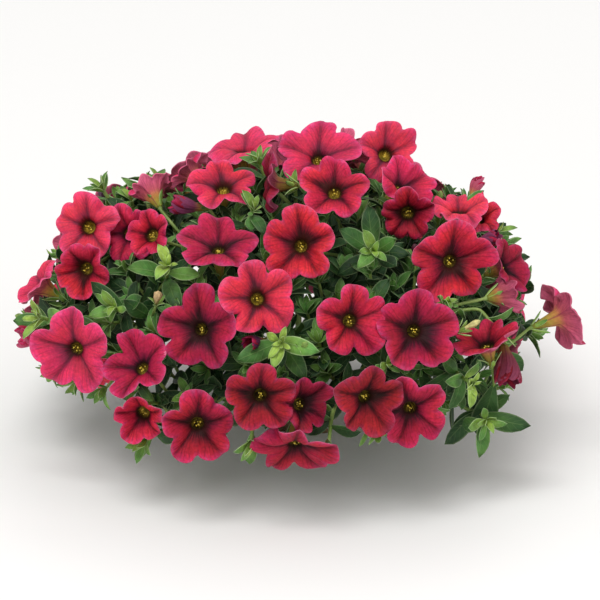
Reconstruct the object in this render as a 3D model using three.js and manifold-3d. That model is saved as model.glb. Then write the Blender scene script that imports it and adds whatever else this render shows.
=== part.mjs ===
// A calibrachoa plant in full flower, cut at its base and resting on the surface.
// Millimetres, +Z up. The origin is the middle of the flat cut under the crown.
// The front of the mound faces -Y.

import * as THREE from 'three';
import { mergeVertices } from 'three/addons/utils/BufferGeometryUtils.js';
import Module from 'manifold-3d';

// ---- driving dimensions --------------------------------------------------------------------

const mound = {
  radius: 123,
  middle: 49.5,
  rise: 76,
  drop: 49.5,
  rightRadius: 106, // the mound is smaller towards its right and its back
  backRadius: 106,
  backRise: 68,
};
const layoutSlope = 21; // degrees: the mound is laid out in two elevations that look down by this
const restGap = 0.4; // lowest petals and leaves stop this far above the surface
const touchGap = 0.3;

const bloomShape = {
  tubeShare: 0.55, // tube length over limb width
  baseRadius: 1.2,
  tubeTopRadius: 3.5,
  tubeTopDepth: 6.2,
  throatRadius: 2.7,
  throatDepth: 4.6,
  throatFloor: 8.5,
  midShare: 0.56, // where the limb turns from funnel to flat, over its radius
  midDepth: 1.0,
  notchShare: 0.85,
  shoulderAngle: 17, // degrees each side of a lobe's middle
  wall: 1.3, // thickness at the turn; the rim is thin
  wave: 1.1, // how far a lobe lifts or hangs
  over: 2, // the room kept for a limb above and below its mouth
  past: 0.5, // and past its radius
  flare: 5, // the funnel opens over this much of the radius
};

const calyxShape = { tip: 4.6, tipRise: 4.2, notch: 1.9, notchRise: 0.9, seat: 1.1, sunk: 0.5 };
const pedicelRadius = 0.85;
const shootRadius = 1.0;
const branchRadius = 1.25;
const stemRadius = 1.6;
const crown = {
  footRadius: 14, // its roots flare out where they are cut, wide enough to stand under the mound's weight
  footRise: 0.9,
  footSlope: 0.6, // how much narrower the foot is at that height
  flareRadius: 8.4,
  flareHeight: 3.2,
  waist: 5.8,
  waistHeight: 6.6,
  headRadius: 9,
  headHeight: 15,
  headStart: -35, // degrees: the round head starts this far below its middle
  sides: 12,
};

const leafShape = {
  width: 0.4, // over its length
  thick: 1.2,
  fold: 0.44,
  droop: 0.12,
  full: 0.95,
  tipWidth: 0.6,
  tipThick: 0.3,
};
const smallLeaf = 17; // shorter ones have one crosswise fold line
const leafSpacing = 40;
const goldenTurn = 137.5; // degrees from one leaf to the next, and from one filling bloom to the next

// More blooms and shoots fill what faces aside and away. They lie deeper the more they face the front.
const filler = {
  places: 110,
  span: 1.34, // of the two halves of the mound: the lowest third has none
  depth: 6,
  sink: 55,
  start: 0.1,
  aside: 0.3,
  room: 26,
  width: 26,
  spread: 5,
  lean: 0.3,
};
const fillerShoots = { places: 60, depth: 14, room: 34, count: 5, leafLength: 17 };
const lowestShoot = 8;
const lowestTwig = 3;

// No leaf hangs before the middle of a bloom, nearer than this.
const faceRoom = { ahead: 24, share: 0.8 };

// Clearances that keep one piece off another.
const clearance = {
  pedicel: 1.6,
  shoot: 1.8,
  bud: 0.6,
  bloom: 2,
  leaf: 1.3,
  ownLeaf: 2.6, // a leaf stays this much nearer to its own stem than to any other
  lines: 3.8,
  budLines: 4,
};

// ---- vectors -------------------------------------------------------------------------------

const rad = Math.PI / 180;
const vec = (x, y, z) => new THREE.Vector3(x, y, z);
const mix = (...terms) =>
  terms.reduce((sum, [share, v]) => sum.addScaledVector(v, share), vec(0, 0, 0));
const unit = (v) => v.clone().normalize();
const cross = (a, b) => a.clone().cross(b);
const pad = (n) => String(n).padStart(2, '0');

function seeded(seed) {
  let state = (seed * 7919 + 12345) % 2147483647;
  return () => {
    state = (state * 16807) % 2147483647;
    return state / 2147483647;
  };
}

// ---- the two elevations and the mound's surface --------------------------------------------

const cosSlope = Math.cos(layoutSlope * rad);
const sinSlope = Math.sin(layoutSlope * rad);
const elevation = (turn, depth, rise) => {
  const across = Math.cos(turn * rad);
  const along = Math.sin(turn * rad);
  return {
    depth,
    rise,
    right: vec(across, along, 0),
    up: vec(-along * sinSlope, across * sinSlope, cosSlope),
    toward: vec(along * cosSlope, -across * cosSlope, sinSlope),
  };
};
const front = elevation(0, mound.radius, mound.rise);
const rear = elevation(180, mound.backRadius, mound.backRise);

// The point of the mound's surface at a place of an elevation, moved by reach towards the viewer.
// Past the outline it is the nearest point of the line of sight.
function onMound(view, across, up, reach) {
  const q = mix([across, view.right], [up, view.up]);
  const t = view.toward;
  let depth = 0;
  for (const half of [view.rise, mound.drop]) {
    const wide = mound.radius * mound.radius;
    const deep = view.depth * view.depth;
    const tall = half * half;
    const a = (t.x * t.x) / wide + (t.y * t.y) / deep + (t.z * t.z) / tall;
    const b = 2 * ((q.x * t.x) / wide + (q.y * t.y) / deep + (q.z * t.z) / tall);
    const c = (q.x * q.x) / wide + (q.y * q.y) / deep + (q.z * q.z) / tall - 1;
    const inside = b * b - 4 * a * c;
    depth = (-b + Math.sqrt(Math.max(inside, 0))) / (2 * a);
    if (q.z + depth * t.z >= 0) break;
  }
  return mix([1, q], [depth + reach, t], [mound.middle, vec(0, 0, 1)]);
}

// A direction turned by pan to the right of the viewer and by tilt above them.
function facing(view, pan, tilt) {
  const level = Math.cos(tilt * rad);
  return mix(
    [Math.sin(pan * rad) * level, view.right],
    [Math.sin(tilt * rad), view.up],
    [Math.cos(pan * rad) * level, view.toward],
  );
}

function frameAbout(axis, hint, other, roll) {
  const flat = mix([1, hint], [-hint.dot(axis), axis]);
  const u = unit(flat.length() > 0.1 ? flat : mix([1, other], [-other.dot(axis), axis]));
  const v = cross(axis, u);
  const turn = roll * rad;
  return {
    u: mix([Math.cos(turn), u], [Math.sin(turn), v]),
    v: mix([-Math.sin(turn), u], [Math.cos(turn), v]),
  };
}

// ---- where the open blooms are -------------------------------------------------------------
// name, across, up, width of the limb, pan, tilt, roll, reach, tone (0 scarlet to 1 magenta)

const frontBlooms = [
  ['01', -91, 40, 28.5, -16, 6, 0, 5, 0.25],
  ['02', -74, 37, 26, -20, 4, 20, -17, 0.8],
  ['03', -64.5, 37, 22, -30, 15, 10, 4, 0.6],
  ['04', -92, 21, 24, -20, -10, 30, -7, 0.35],
  ['05', -113, 17, 25, -72, 32, 0, 0, 0.6],
  ['07', -32.5, 58.5, 30, 0, 46, 10, 2, 0.4],
  ['08', -24, 76, 31, -5, 80, 0, 0, 0.7],
  ['09', -50, 65, 22, -102, 40, 0, -6, 0.9],
  ['10', -64, 57, 20, -135, 56, 0, -4, 0.85],
  ['12', -15.5, 57.5, 27, -84, 2, 0, -1, 0.6],
  ['13', -34.5, 33, 36, -5, 50, 0, -2, 0.95],
  ['14', -0.5, 31.5, 32, -10, 5, 0, 2, 0.1],
  ['15', -17, 9.5, 32, 8, 6, 15, 6, 0.15],
  ['16', -42.5, -3.5, 36.5, -18, 0, 0, 0, 0.85],
  ['17', -68, -18, 31, -30, 22, 25, -2, 0.9],
  ['18', -95.5, -13, 36, -22, -16, 0, 2, 0.75],
  ['19', -67, -40.5, 22, -22, -26, 0, -2, 0.45],
  ['20', -42.5, -44.5, 31.5, 2, -22, 0, 0, 0.5],
  ['21', -16.5, -32, 30, 0, -16, 0, 6, 0.2],
  ['22', 2.5, -34.5, 23, 34, 0, 20, -2.5, 0.7],
  ['23', -2, -55, 34, 0, -58, 0, 2, 0.55],
  ['24', 22, 0, 31, 18, 0, 0, 4, 0.5],
  ['25', 48.5, -4, 34.5, 15, 3, 0, 2.7, 0.7],
  ['26', 28.8, -33, 29.5, 26, -20, 0, 4, 0.1],
  ['27', 46, -38.5, 33, 4, -28, 20, -3, 0.65],
  ['28', 64, 24.5, 34.5, 14, -4, 0, 0, 0.3],
  ['29', 45.5, 57.5, 28, 50, 30, 0, 1.5, 0.8],
  ['30', 45.5, 44, 23, 0, -16, 0, -10, 0.4],
  ['31', 38, 72.5, 27, 20, 22, 0, 0, 0.35],
  ['32', 7.5, 71.5, 35, -5, 40, 0, -4, 0.9],
  ['33', 14.5, 56, 30, 0, 30, 0, 6, 0.45],
  ['34', 21.5, 74, 18, 150, 30, 0, -10, 0.9],
  ['35', 67.5, 49.5, 23, 5, 74, 0, -2, 0.2],
  ['37', 76, 46, 20, 18, 52, 0, -2, 0.25],
  ['40', 89, 24, 25, 58, 22, 0, 0, 0.85],
  ['41', 114, 3, 32, 108, 20, 0, 0, 0.5],
  ['42', 87.5, 11, 18, 110, 10, 0, -6, 0.8],
  ['43', 77, -7, 27, -20, 52, 0, 2, 0.45],
];

const rearBlooms = [
  ['51', -74, 5, 28, -30, 2, 0, -22, 0.6],
  ['52', -57, 21, 28, -24, 8, 30, -13, 0.3],
  ['53', -30, 40, 30, -12, 22, 0, -3, 0.8],
  ['54', -4.5, 44, 30, 6, 22, 15, -1, 0.2],
  ['55', 30, 42, 30, 8, 22, 0, -3, 0.5],
  ['56', 52, 34, 28, 26, 16, 0, -10, 0.9],
  ['57', 84, 15, 29, 40, 4, 0, -7, 0.3],
  ['58', -62, -14, 31, -30, -6, 10, -8, 0.85],
  ['59', -43, 0, 30, -14, 2, 20, -3, 0.4],
  ['60', -14, 14, 31, -15, 8, 0, 0, 0.7],
  ['61', 10.5, 10, 32, 10, 6, 0, -1.5, 0.15],
  ['62', 42, 8, 31, 5, 6, 0, -5, 0.6],
  ['63', 64, 1, 30, 30, 0, 30, -6, 0.35],
  ['64', 99, -8, 28, 46, 0, 0, 0, 0.5],
  ['65', -90, -23, 27, -50, -8, 15, -10, 0.2],
  ['66', -66.5, -43, 29, -26, -16, 0, 0, 0.9],
  ['67', -45, -33, 30, -4, -10, 0, -9, 0.45],
  ['68', -10, -24, 31, -13, -6, 20, 0, 0.3],
  ['69', 14.5, -21, 30, 10, -4, 0, 2, 0.75],
  ['70', 49, -28, 30, 7, -10, 0, 0, 0.5],
  ['71', 69, -33, 29, 30, -14, 10, 4.5, 0.25],
  ['72', -18, -54, 30, -6, -32, 0, 0, 0.8],
  ['73', 20, -54, 31, 8, -34, 0, 0, 0.2],
];

// Blooms whose petals have met: each group is one body.
const metBlooms = [
  ['16', '17'],
  ['21', '22'],
  ['24', '25'],
  ['29', '30'],
  ['35', '37'],
  ['40', '42'],
  ['51', '52'],
  ['53', '54'],
  ['55', '56'],
  ['58', '59'],
  ['60', '61'],
  ['62', '63'],
  ['66', '67'],
  ['68', '69'],
  ['70', '71'],
];

// ---- closing blooms, buds and spent tubes: across, up, length, width, pan, tilt, reach -----

const frontBuds = [
  [-117, -7, 15, 4.5, -80, 2, 0],
  [-52, 49, 14, 4, -80, 8, 0],
  [83, 35, 12, 4.5, 74, 14, -2],
  [87, -24, 19, 4.5, 25, -72, 0],
  [-21, -9.5, 11, 4.5, -40, -10, -3],
  [48, 32, 9, 3, -10, 50, -4],
  [60, 55, 10, 3, 24, 55, 0],
  [11, -40, 9, 3, 10, 40, 0],
  [-86, 57, 9, 3, -30, 60, 0],
  [-122, 2, 7, 2.4, -80, 10, 0],
  [-59, 12, 9, 3.6, 10, 40, 2],
  [75, 0, 11, 2.6, 70, 25, 0],
  [3, -9, 8, 2.6, 30, 20, 0],
];

const rearBuds = [
  [-10, 34, 12, 4, 20, 30, 0],
  [44, -8, 9, 3, -20, 25, 0],
  [-78, 10, 10, 3.4, -30, 20, 0],
  [-62, -52, 14, 4.4, -10, -50, 0],
];

// ---- leafy shoots: across, up, pan, tilt, reach, number of leaves, leaf length -------------

const frontShoots = [
  [-110, 1, -40, 10, -6, 6, 20],
  [-77, 5, -15, 10, -8, 6, 17],
  [-55, 23, -5, 25, -6, 6, 21],
  [-8, -9, -10, 5, -4, 6, 20],
  [31, 29, 5, 15, -6, 7, 20],
  [19, 70, 0, 40, -8, 4, 16],
  [71, -26, 20, -5, -6, 7, 17],
  [78, -42, 25, -30, -6, 4, 22],
  [83, 8, 30, 10, -8, 5, 18],
  [-20, 46, 0, 30, -9, 5, 16],
  [-17, 66, 0, 45, -9, 5, 16],
  [-72, 51, -20, 35, -8, 5, 15],
  [60, 8, 10, 5, -8, 5, 18],
  [-84, 55, -40, 35, -6, 4, 14],
  [-20, -50, 0, -45, -6, 4, 15],
  [12, -50, 0, -45, -6, 4, 15],
  [-64, -50, -15, -45, -6, 4, 15],
  [82, 38, 40, 30, -10, 5, 14],
  [36, -18, 5, -5, -9, 5, 16],
];

const rearShoots = [
  [-88, 2, -30, 5, -10, 6, 16],
  [-64, 26, -12, 20, -7, 6, 18],
  [-36, 34, -5, 25, -7, 5, 17],
  [-4, 32, 0, 20, -7, 6, 18],
  [31, 36, 10, 25, -7, 4, 17],
  [62, 26, 15, 15, -7, 6, 18],
  [-46, -6, -5, 5, -6, 6, 18],
  [-13, -4, 0, 0, -7, 6, 18],
  [44, -13, 10, 0, -7, 5, 18],
  [80, -14, 25, 0, -6, 6, 18],
  [-60, -46, -10, -40, -6, 5, 16],
  [-6, -40, 0, -20, -7, 5, 17],
  [31, -40, 5, -30, -7, 5, 16],
  [-90, -24, -30, -10, -6, 6, 17],
  [2, 63, 0, 45, -9, 5, 16],
  [-38, 62, -15, 45, -9, 5, 16],
  [66, 50, 25, 35, -8, 5, 16],
];

// ---- open blooms in place ------------------------------------------------------------------

function shapeBloom(mouth, axis, width, roll, draw, hint) {
  const radius = width / 2;
  const lowest = mouth.z - (radius + 1) * Math.sqrt(1 - axis.z * axis.z) - 1;
  if (lowest < restGap) mouth.z += restGap - lowest;
  const { u, v } = frameAbout(axis, hint, vec(1, 0, 0), roll);
  const lobes = [];
  for (let k = 0; k < 5; k++) {
    lobes.push({ length: 0.97 + 0.08 * draw(), lift: bloomShape.wave * (2 * draw() - 1) });
  }
  const tube = width * bloomShape.tubeShare;
  const base = mix([1, mouth], [-tube, axis]);
  return { radius, axis, mouth, u, v, lobes, tube, base };
}

function placeBloom(view, row, index) {
  const [name, across, up, width, pan, tilt, roll, reach, tone] = row;
  const mouth = onMound(view, across, up, reach);
  const shaped = shapeBloom(mouth, facing(view, pan, tilt), width, roll, seeded(100 + index), view.up);
  return { ...shaped, name, tone };
}

const blooms = [
  ...frontBlooms.map((row, i) => placeBloom(front, row, i)),
  ...rearBlooms.map((row, i) => placeBloom(rear, row, 60 + i)),
];

// Places spread evenly over the mound, with the direction that its surface faces there.
function spreadPlace(i, count, depth) {
  const level = 1 - (filler.span * (i + 0.5)) / count;
  const turn = goldenTurn * i * rad;
  const flat = Math.sqrt(1 - level * level);
  const across = flat * Math.cos(turn);
  const along = flat * Math.sin(turn);
  const back = Math.max(0, Math.sin(turn));
  const wide = mound.radius - Math.max(0, Math.cos(turn)) * (mound.radius - mound.rightRadius);
  const deep = mound.radius - back * (mound.radius - mound.backRadius);
  const half = level > 0 ? mound.rise - back * (mound.rise - mound.backRise) : mound.drop;
  const normal = unit(vec(across / wide, along / deep, level / half));
  const place = vec(wide * across, deep * along, mound.middle + half * level);
  const forward = normal.dot(front.toward);
  const deeper = depth + filler.sink * Math.max(0, forward + filler.start);
  return { place: mix([1, place], [-deeper, normal]), normal, aside: forward < filler.aside };
}

// True where a point comes within margin of a bloom's limb or tube.
function nearBloom(point, bloom, margin) {
  const away = mix([1, point], [-1, bloom.mouth]);
  const height = away.dot(bloom.axis);
  if (height > bloomShape.over + margin || height < -bloom.tube - margin) return false;
  const out = Math.sqrt(Math.max(away.lengthSq() - height * height, 0));
  if (out > bloom.radius + bloomShape.past + margin) return false;
  const { tubeTopRadius, tubeTopDepth, baseRadius, over, flare } = bloomShape;
  if (height < -tubeTopDepth) {
    const share = (height + bloom.tube) / (bloom.tube - tubeTopDepth);
    return out < baseRadius + (tubeTopRadius - baseRadius) * share + margin;
  }
  const under = -tubeTopDepth + (tubeTopDepth - over) * Math.min(1, (out - tubeTopRadius) / flare);
  return height > under - margin;
}

const clearOfBlooms = (points, margin, own) =>
  !blooms.some((bloom) => bloom !== own && points.some((p) => nearBloom(p, bloom, margin)));

// True where a point hangs before a bloom's face.
function beforeBloom(point, bloom) {
  const away = mix([1, point], [-1, bloom.mouth]);
  const height = away.dot(bloom.axis);
  if (height < 0 || height > faceRoom.ahead) return false;
  return away.lengthSq() - height * height < (bloom.radius * faceRoom.share) ** 2;
}

// ---- main stems and their side branches ----------------------------------------------------

const headMiddle = vec(0, 0, crown.headHeight);
const lineStep = 3; // how far apart a line's clearances are tested
const taper = 0.8; // a stem's radius at its end, over that at its start
const centre = { turn: 250, radius: 4, height: 100, leave: 88, bendRadius: 3, bendHeight: 60 };
const upperRing = { count: 4, radius: 46, height: 92, leave: 66, bendRadius: 16, bendHeight: 66 };
const lowerRings = [
  { radius: 86, height: 54, leave: 40, bendRadius: 42, bendHeight: 68 },
  { radius: 88, height: 27, leave: 14, bendRadius: 46, bendHeight: 46 },
];
const lowerCount = 8;
const sideBranch = { from: 0.5, radius: 76, height: 74, turn: 22.5, ahead: 18, rise: 6 };

const polar = (radius, turn, height) =>
  vec(radius * Math.cos(turn * rad), radius * Math.sin(turn * rad), height);

// A stem, branch, shoot or pedicel: straight pieces between corners taken from a curve.
function lineAlong(curve, steps, radius, stem) {
  const corners = Array.from({ length: steps + 1 }, (_, i) => curve.getPoint(i / steps));
  const line = { corners, radius, stem };
  line.length = corners.slice(1).reduce((sum, corner, i) => sum + corner.distanceTo(corners[i]), 0);
  const count = Math.max(3, Math.ceil(line.length / lineStep));
  line.points = Array.from({ length: count + 1 }, (_, i) => pointOn(line, i / count));
  return line;
}

function pieceOf(line, share) {
  const pieces = line.corners.length - 1;
  const at = Math.min(Math.floor(share * pieces), pieces - 1);
  return [line.corners[at], line.corners[at + 1], share * pieces - at];
}

function pointOn(line, share) {
  const [from, to, part] = pieceOf(line, share);
  return mix([1 - part, from], [part, to]);
}

function directionOn(line, share) {
  const [from, to] = pieceOf(line, share);
  return unit(mix([1, to], [-1, from]));
}

const lines = []; // every stem, branch, shoot and pedicel, with the leafy stem it belongs to
const stems = [];

function addStem(ring, turn, branchTurn) {
  const stem = stems.length + 1;
  const leave = polar(Math.cos(ring.leave * rad), turn, Math.sin(ring.leave * rad));
  const from = mix([1, headMiddle], [crown.headRadius + touchGap, leave]);
  const bend = polar(ring.bendRadius, turn, ring.bendHeight);
  const to = polar(ring.radius, turn, ring.height);
  const main = lineAlong(new THREE.QuadraticBezierCurve3(from, bend, to), 4, stemRadius, stem);
  lines.push(main);
  stems.push(main);
  if (branchTurn === undefined) return;
  const start = pointOn(main, sideBranch.from);
  const along = directionOn(main, sideBranch.from);
  const end = polar(sideBranch.radius, turn + branchTurn, sideBranch.height);
  const middle = mix([1, start], [sideBranch.ahead, along], [sideBranch.rise, vec(0, 0, 1)]);
  const curve = new THREE.QuadraticBezierCurve3(start, middle, end);
  const branch = lineAlong(curve, 3, branchRadius, stem);
  branch.forked = true;
  lines.push(branch);
}

addStem(centre, centre.turn);
for (let i = 0; i < upperRing.count; i++) addStem(upperRing, (360 / upperRing.count) * (i + 0.5));
for (let i = 0; i < lowerCount; i++) {
  addStem(lowerRings[i % 2], (360 / lowerCount) * (i + 0.25), sideBranch.turn);
}

// How a twig leaves its stem and arrives: shares of its length along each direction.
const bow = { leave: 0.12, straight: 0.2, arrive: 0.5 };
const fork = { lowest: 0.3, shortest: 6, tries: 60, longTwig: 26 };

// A curve from the best clear place on a stem to a tip, arriving along the tip's own direction.
function reachFor(tip, direction, radius, ownBloom, margin) {
  const tries = [];
  lines.forEach((line, at) => {
    if (line.twig) return;
    line.points.forEach((start, i) => {
      const share = i / (line.points.length - 1);
      if (share < fork.lowest) return;
      const gap = mix([1, tip], [-1, start]);
      const length = gap.length();
      if (length < fork.shortest) return;
      const cost = length * (2 - gap.dot(direction) / length);
      tries.push({ cost, line, start, share, length, at });
    });
  });
  tries.sort((p, q) => p.cost - q.cost || p.at - q.at || p.share - q.share);
  for (const { line, start, share, length } of tries.slice(0, fork.tries)) {
    const along = directionOn(line, share);
    const straight = unit(mix([1, tip], [-1, start]));
    const leave = mix([1, start], [length * bow.leave, along], [length * bow.straight, straight]);
    const arrive = mix([1, tip], [-length * bow.arrive, direction]);
    const curve = new THREE.CubicBezierCurve3(start, leave, arrive, tip);
    const twig = lineAlong(curve, length > fork.longTwig ? 3 : 2, radius, line.stem);
    twig.twig = true;
    twig.forked = true;
    if (!clearOfBlooms(twig.points, margin, ownBloom)) continue;
    if (twig.points.some((p) => p.z < lowestTwig)) continue;
    const blocked = lines.some(
      (other) =>
        other.stem !== line.stem &&
        other.points.some((a) => twig.points.some((b) => a.distanceTo(b) < clearance.lines)),
    );
    if (!blocked) return twig;
  }
  return null;
}

// ---- pedicels, buds and shoots -------------------------------------------------------------

function addPedicel(bloom) {
  const sunk = bloom.fused ? -calyxShape.sunk : calyxShape.seat;
  const seat = mix([1, bloom.base], [-sunk - calyxShape.sunk, bloom.axis]);
  const twig = reachFor(seat, bloom.axis, pedicelRadius, bloom, clearance.pedicel);
  if (!twig) return false;
  Object.assign(twig, { calyx: true, axis: bloom.axis, u: bloom.u, v: bloom.v });
  if (bloom.fused) bloom.stem = twig.stem;
  lines.push(twig);
  return true;
}

for (const bloom of blooms) addPedicel(bloom);

function addBud(view, row) {
  const [across, up, length, width, pan, tilt, reach] = row;
  const axis = facing(view, pan, tilt);
  for (const shift of [0, 3, -3, 6, -6, 9, -9]) {
    const tip = onMound(view, across, up, reach + shift);
    const lowest = Math.min(tip.z, tip.z - length * axis.z) - width;
    if (lowest < restGap) tip.z += restGap - lowest;
    const seat = mix([1, tip], [-length, axis]);
    const inside = [];
    for (let done = 0; done <= length; done += 2) inside.push(mix([1, seat], [done, axis]));
    if (!clearOfBlooms(inside, width / 2 + clearance.bud, null)) continue;
    const near = (a) => inside.some((b) => a.distanceTo(b) < clearance.budLines);
    if (lines.some((line) => line.points.some(near))) continue;
    const twig = reachFor(seat, axis, pedicelRadius, null, clearance.pedicel);
    if (!twig) continue;
    const { u, v } = frameAbout(axis, view.up, view.right, 0);
    Object.assign(twig, { calyx: true, axis, u, v, bud: { length, width } });
    twig.points.push(...inside);
    lines.push(twig);
    return;
  }
}
frontBuds.forEach((row) => addBud(front, row));
rearBuds.forEach((row) => addBud(rear, row));

function addShoot(view, row) {
  const [across, up, pan, tilt, reach, count, leafLength] = row;
  const axis = facing(view, pan, tilt);
  for (const deeper of [0, -3, 3, -6, -9, -12]) {
    const tip = onMound(view, across, up, reach + deeper);
    tip.z = Math.max(tip.z, lowestShoot);
    const twig = reachFor(tip, axis, shootRadius, null, clearance.shoot);
    if (!twig) continue;
    Object.assign(twig, { rosette: { count, leafLength } });
    lines.push(twig);
    return;
  }
}
frontShoots.forEach((row) => addShoot(front, row));
rearShoots.forEach((row) => addShoot(rear, row));

// More blooms where the sides and the back leave room. They stay fused to their stems.
function bloomSamples(bloom) {
  const points = [];
  for (let k = 0; k < 10; k++) {
    const angle = 36 * k * rad;
    for (const out of [0.55, 1.05]) {
      const reach = bloom.radius * out;
      points.push(
        mix([1, bloom.mouth], [reach * Math.cos(angle), bloom.u], [reach * Math.sin(angle), bloom.v]),
      );
    }
  }
  for (const share of [0.25, 0.5, 0.75, 1]) {
    points.push(mix([1, bloom.mouth], [-bloom.tube * share, bloom.axis]));
  }
  return points;
}

for (let i = 0; i < filler.places; i++) {
  const { place, normal, aside } = spreadPlace(i, filler.places, filler.depth);
  if (!aside) continue;
  if (blooms.some((bloom) => bloom.mouth.distanceTo(place) < filler.room)) continue;
  const draw = seeded(900 + i);
  const width = filler.width + filler.spread * draw();
  const lean = filler.lean * (draw() - 0.5);
  const axis = unit(mix([1, normal], [lean, vec(1, 0, 0)], [filler.lean * draw(), vec(0, 0, 1)]));
  const shaped = shapeBloom(place, axis, width, 360 * draw(), draw, vec(0, 0, 1));
  const bloom = { ...shaped, name: `f${pad(i)}`, tone: draw(), fused: true };
  if (!clearOfBlooms(bloomSamples(bloom), clearance.bloom, null)) continue;
  if (lines.some((line) => line.points.some((p) => nearBloom(p, bloom, clearance.bloom)))) continue;
  if (addPedicel(bloom)) blooms.push(bloom);
}

for (let i = 0; i < fillerShoots.places; i++) {
  const { place, normal, aside } = spreadPlace(i, fillerShoots.places, fillerShoots.depth);
  if (!aside) continue;
  const { room, count, leafLength } = fillerShoots;
  if (lines.some((line) => line.rosette && line.corners.at(-1).distanceTo(place) < room)) continue;
  place.z = Math.max(place.z, lowestShoot);
  const twig = reachFor(place, normal, shootRadius, null, clearance.shoot);
  if (!twig) continue;
  Object.assign(twig, { rosette: { count, leafLength } });
  lines.push(twig);
}

// ---- leaves --------------------------------------------------------------------------------

const leaves = [];
const stations = [0.34, 0.7]; // shares of a leaf's length
const smallStations = [0.46];
const stationWidth = [0.94, 0.86];
const leafFace = 0.7; // how much a leaf's face turns outward

// A rosette's leaves stand on the last stretch of its shoot. They are longer and more open lower down.
const rosetteShape = {
  stretch: 14,
  mostShare: 0.8,
  youngest: 0.62, // the top leaf's length over a grown one's
  grown: 0.6,
  open: 34,
  opening: 42,
  unevenOpen: 8,
};
const stemLeaf = { length: 17, spread: 5, from: 0.5, over: 0.48, open: 50, unevenOpen: 15 };
const unevenTurn = { rosette: 40, stem: 60 };

function leafPoint(leaf, share, side, lift) {
  const half = side * leaf.width * 0.5;
  return mix(
    [1, leaf.root],
    [leaf.length * share, leaf.along],
    [half, leaf.side],
    [Math.abs(half) * leafShape.fold + lift - leaf.length * leafShape.droop * share * share, leaf.up],
  );
}

function leafSamples(leaf) {
  const points = [leafPoint(leaf, 1, 0, 0)];
  for (const share of [0.2, 0.4, 0.6, 0.8]) {
    const width = share > stations[1] ? leafShape.tipWidth : leafShape.full;
    for (const side of [-width, 0, width]) points.push(leafPoint(leaf, share, side, 0));
  }
  return points;
}

const nearest = (point, chosen) => {
  let least = Infinity;
  for (const line of chosen) {
    for (const p of line.points) least = Math.min(least, p.distanceToSquared(point));
  }
  return Math.sqrt(least);
};

const leafCentre = vec(0, 0, mound.middle * 0.6); // leaves face away from here

// How much more a leaf opens and turns, and its size, where its first place is taken.
const leafTries = [
  [0, 0, 1],
  [0, 28, 1],
  [0, -28, 1],
  [18, 0, 1],
  [-20, 0, 1],
  [0, 56, 0.9],
  [0, -56, 0.9],
  [-28, 24, 0.8],
  [-28, -24, 0.8],
  [-34, 0, 0.66],
];

const byStem = (stem) => lines.filter((line) => line.stem === stem);
const byOthers = (stem) => lines.filter((line) => line.stem !== stem);

function growLeaf(line, share, turn, open, length, own, others) {
  const root = pointOn(line, share);
  const along = directionOn(line, share);
  const outward = unit(mix([1, root], [-1, leafCentre]));
  const hint = Math.abs(along.z) < 0.9 ? vec(0, 0, 1) : vec(1, 0, 0);
  const { u, v } = frameAbout(along, hint, hint, 0);
  for (const [moreOpen, moreTurn, scale] of leafTries) {
    const angle = (turn + moreTurn) * rad;
    const aside = mix([Math.cos(angle), u], [Math.sin(angle), v]);
    const spread = (open + moreOpen) * rad;
    const direction = unit(mix([Math.cos(spread), along], [Math.sin(spread), aside]));
    const face = mix([Math.sin(spread), along], [-Math.cos(spread), aside], [leafFace, outward]);
    const up = unit(mix([1, face], [-face.dot(direction), direction]));
    const size = length * scale;
    const leaf = { root, along: direction, up, side: cross(up, direction), length: size };
    leaf.width = size * leafShape.width;
    leaf.stem = line.stem;
    const points = leafSamples(leaf);
    if (points.some((p) => p.z < restGap + leafShape.thick)) continue;
    if (!clearOfBlooms(points, clearance.leaf, null)) continue;
    if (blooms.some((bloom) => points.some((p) => beforeBloom(p, bloom)))) continue;
    if (points.some((p) => nearest(p, own) + clearance.ownLeaf > nearest(p, others))) continue;
    leaves.push(leaf);
    return;
  }
}

stems.forEach((main, at) => {
  const own = byStem(at + 1);
  const others = byOthers(at + 1);
  const draw = seeded(500 + at);
  for (const line of own) {
    if (line.rosette) {
      const { count, leafLength } = line.rosette;
      for (let i = 0; i < count; i++) {
        const { stretch, mostShare, youngest, grown, opening, unevenOpen } = rosetteShape;
        const share = 1 - (i / count) * Math.min(mostShare, stretch / line.length);
        const age = Math.min(1, (i + grown) / (count * grown));
        const open = rosetteShape.open + (i / count) * opening + unevenOpen * draw();
        const turn = goldenTurn * i + unevenTurn.rosette * draw();
        const length = leafLength * (youngest + (1 - youngest) * age) * (0.9 + 0.2 * draw());
        growLeaf(line, share, turn, open, length, own, others);
      }
    } else if (!line.twig) {
      const count = Math.floor((line.length * stemLeaf.from) / leafSpacing);
      for (let i = 0; i < count; i++) {
        const share = stemLeaf.from + (stemLeaf.over * (i + 0.5)) / count;
        const length = stemLeaf.length + stemLeaf.spread * draw();
        const turn = goldenTurn * i + unevenTurn.stem * draw();
        const open = stemLeaf.open + stemLeaf.unevenOpen * draw();
        growLeaf(line, share, turn, open, length, own, others);
      }
    }
  }
});

// ---- solids --------------------------------------------------------------------------------

const wasm = await Module();
wasm.setup();

function solidOf(points, faces) {
  const geometry = new THREE.BufferGeometry();
  geometry.setAttribute('position', new THREE.Float32BufferAttribute(points.flatMap((p) => p.toArray()), 3));
  geometry.setIndex(faces.flat());
  return fromGeometry(geometry);
}

function fromGeometry(geometry) {
  geometry.deleteAttribute('normal');
  geometry.deleteAttribute('uv');
  const merged = mergeVertices(geometry, 1e-4);
  return new wasm.Manifold(
    new wasm.Mesh({
      numProp: 3,
      vertProperties: new Float32Array(merged.attributes.position.array),
      triVerts: new Uint32Array(merged.index.array),
    }),
  );
}

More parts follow.
